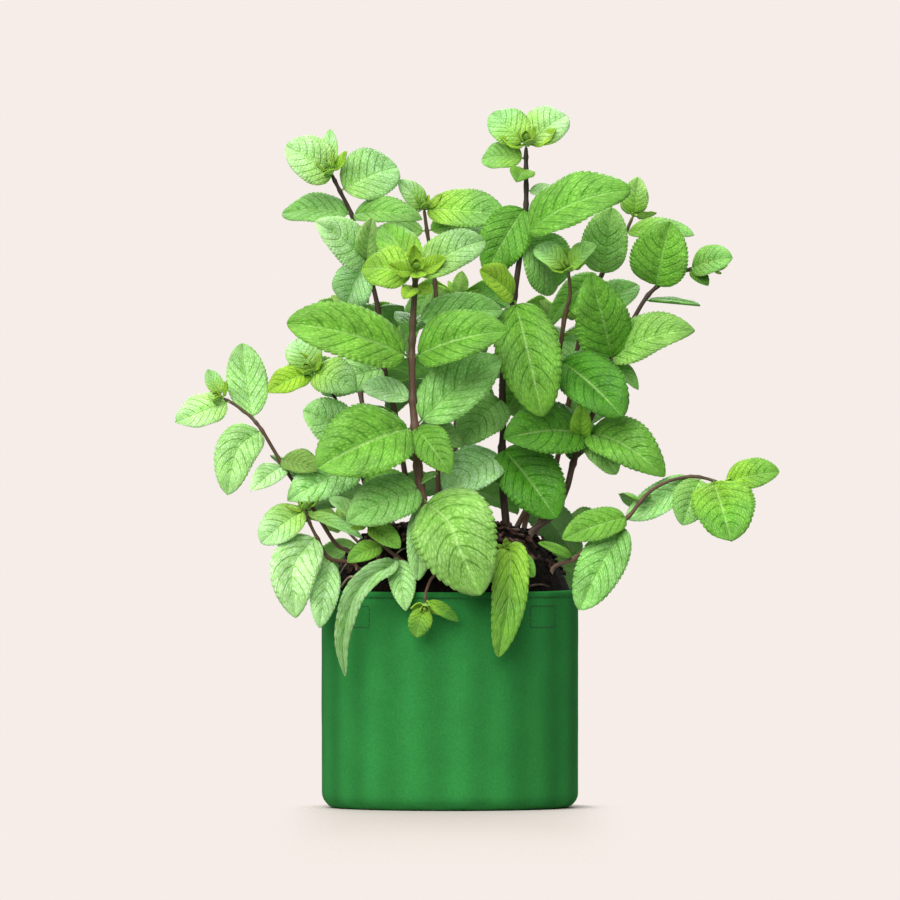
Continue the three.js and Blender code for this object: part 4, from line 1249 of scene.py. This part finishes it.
upper_skin, upper_tree = new_material("mint_leaf_upper_face")
under_skin, under_tree = new_material("mint_leaf_under_face")
leaf_draw = random.Random(29)
for name, foot, route, thick, bud, leaves in STEMS:
    line = stalk_of(name, foot, route, thick, leaves)
    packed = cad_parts[name].data.vertices
    solid_corners = kdtree.KDTree(len(packed))
    for i, corner in enumerate(packed):
        solid_corners.insert(corner.co / MM, i)
    solid_corners.balance()
    blades = []
    for tone, place, tip, width, face, arch, *rest in leaves:
        fold = math.radians(rest[0] if rest else LEAF_FOLD)
        passes = rest[1] if len(rest) > 1 else ()
        base = line((place + 2) / (len(route) + 1))

        def tip_top(swing):
            end = Vector(tip) + Vector((0, swing, 0))
            midrib, up = midrib_of(base, end, face, arch, passes)
            return end + square_to(heading(midrib, 1), up) * (BLADE / 2 / math.cos(fold))

        swing = swing_taken(tip_top, solid_corners)
        midrib, up = midrib_of(base, Vector(tip) + Vector((0, swing, 0)), face, arch, passes)
        youth = YOUNG_MOST * min(1, max(0, 1 - (len(route) - 1 - place) / YOUNG_SPAN))
        blades.append(bent_leaf(midrib, up, width, fold, tone, youth, leaf_draw))
    light_side = Vector((0, -1 if foot[1] < BEHIND else 1, 0))
    foliage = joined(blades + young_tip(line, bud, light_side, leaf_draw), name + "_leaves")
    thickness = foliage.modifiers.new("blade", "SOLIDIFY")
    thickness.thickness = LEAF_THICK * MM
    thickness.offset = 0
    thickness.material_offset = 1
    thickness.material_offset_rim = 0
    pick(foliage)
    foliage.data.materials.append(upper_skin)
    foliage.data.materials.append(under_skin)
    bpy.ops.object.modifier_apply(modifier="blade")
    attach(foliage, "root")
    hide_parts(name)
for spare in (stalk_skin, grown_blade[0], young_blade[0]):
    bpy.data.objects.remove(spare)

# Mint leaf: a soft waxy skin, bright green. Its side veins and the fine net between them lie sunk, the cells
# of the net stand puffed, and the midrib is palest. The sunk veins and net are painted a little darker and
# the puffed cells paler, a painted shade in the grooves. The under face is paler and greyer, with the veins
# standing out. The net follows the blade's map, one of its cells is about 2 by 1.5 mm on a grown leaf, and a
# faint mottle about 4 mm across lies over all.
VEIN_HALF = 0.12
VEIN_TIP_FADES = (0.72, 0.9)
VEIN_EDGE_FADES = (0.7, 0.95)
MIDRIB_FADES = (0.02, 0.075)
MIDRIB_PALE = 0.26
SIDE_VEIN_SHARE = 0.8
NET_SCALE = (3.3, 8.6, 40)
CELL_RISES = 0.24
CELL_SHARE = 0.42
LEAF_MOTTLES_PER_METRE = 230

for tree, greyed, relief, shine in ((upper_tree, 0.0, 1.0, 0.42), (under_tree, 0.4, -0.8, 0.6)):
    tint = add(tree, "Attribute", attribute_name="tone")
    place = add(tree, "TexCoord").outputs["Object"]
    parts = add(tree, "SeparateXYZ", (add(tree, "UVMap", uv_map="blade"),))
    along, across = parts.outputs["X"], parts.outputs["Y"]
    signed = add(tree, "Math", (across, 2, -1), operation="MULTIPLY_ADD")
    out = add(tree, "Math", (signed,), operation="ABSOLUTE")
    curved = add(tree, "Math", (out, VEIN_CURVE), operation="POWER")
    swept = add(tree, "Math", (curved, -VEIN_SWEEP, along), operation="MULTIPLY_ADD")
    counted = add(tree, "Math", (swept, VEIN_PAIRS), operation="MULTIPLY")
    nearest = add(tree, "Math", (counted, 0.5), operation="PINGPONG")
    vein_line = add(tree, "MapRange", (nearest, 0, VEIN_HALF, 1, 0), **SMOOTH)
    before_tip = add(tree, "MapRange", (along, *VEIN_TIP_FADES, 1, 0))
    before_edge = add(tree, "MapRange", (out, *VEIN_EDGE_FADES, 1, 0.2))
    in_blade = add(tree, "Math", (before_tip, before_edge), operation="MULTIPLY")
    side_vein = add(tree, "Math", (vein_line, in_blade), operation="MULTIPLY")
    midrib_line = add(tree, "MapRange", (out, *MIDRIB_FADES, 1, 0), **SMOOTH)
    soft_vein = add(tree, "Math", (side_vein, SIDE_VEIN_SHARE), operation="MULTIPLY")
    veins = add(tree, "Math", (soft_vein, midrib_line), operation="MAXIMUM")
    net_place = add(tree, "CombineXYZ", (counted, signed, tint.outputs["Alpha"]))
    net_scale = add(tree, "Mapping", {"Vector": net_place, "Scale": NET_SCALE})
    net = add(tree, "TexVoronoi", {"Vector": net_scale, "Scale": 1}, feature="DISTANCE_TO_EDGE")
    cell = add(tree, "MapRange", (net, 0, CELL_RISES), **SMOOTH)
    mottle = add(tree, "TexNoise", {"Vector": place, "Scale": LEAF_MOTTLES_PER_METRE, "Detail": 4})
    # The colour is painted darker along the sunk net and side veins and left paler on the puffed cells:
    # painted shade in the grooves, over the shading that the bump gives.
    net_painted_shade = add(tree, "ValToRGB", (cell,), ((0.0, "#cbdcb0"), (0.8, "#ffffff")))
    vein_painted_shade = add(tree, "ValToRGB", (side_vein,), ((0.0, "#ffffff"), (1.0, "#bfd69c")))
    patched = add(tree, "ValToRGB", (mottle,), ((0.32, "#dfebce"), (0.66, "#ffffff")))
    tint_with_groove_shade = add(tree, "Mix", {0: 1, 6: tint, 7: net_painted_shade}, **MULTIPLIED)
    tint_with_groove_shade = add(tree, "Mix", {0: 1, 6: tint_with_groove_shade, 7: vein_painted_shade}, **MULTIPLIED)
    rib_share = add(tree, "Math", (midrib_line, MIDRIB_PALE), operation="MULTIPLY")
    ribbed = add(tree, "Mix", {0: rib_share, 6: tint_with_groove_shade, 7: linear("#c8ea9c")}, data_type="RGBA")
    uneven = add(tree, "Mix", {0: 1, 6: ribbed, 7: patched}, **MULTIPLIED)
    aged = add(tree, "Mix", {0: greyed, 6: uneven, 7: linear("#a9d48c")}, data_type="RGBA")
    cell_height = add(tree, "Math", (cell, CELL_SHARE), operation="MULTIPLY")
    height = add(tree, "Math", (cell_height, veins), operation="SUBTRACT")
    raised = add(tree, "Math", (height, relief), operation="MULTIPLY")
    leaf_bump = add(tree, "Bump", {"Height": raised, "Strength": 0.8, "Distance": 0.5 * MM})
    leaf_rough = add(tree, "MapRange", (mottle, 0, 1, shine, shine + 0.16))
    leaf_shader = add(tree, "BsdfPrincipled", {
        "Base Color": aged, "Roughness": leaf_rough, "Normal": leaf_bump, "Specular IOR Level": 0.35,
        "Sheen Weight": 0.05, "Subsurface Weight": 0.3, "Subsurface Scale": MM,
        "Subsurface Radius": (0.7, 1.0, 0.25),
    })
    add(tree, "OutputMaterial", (leaf_shader,))
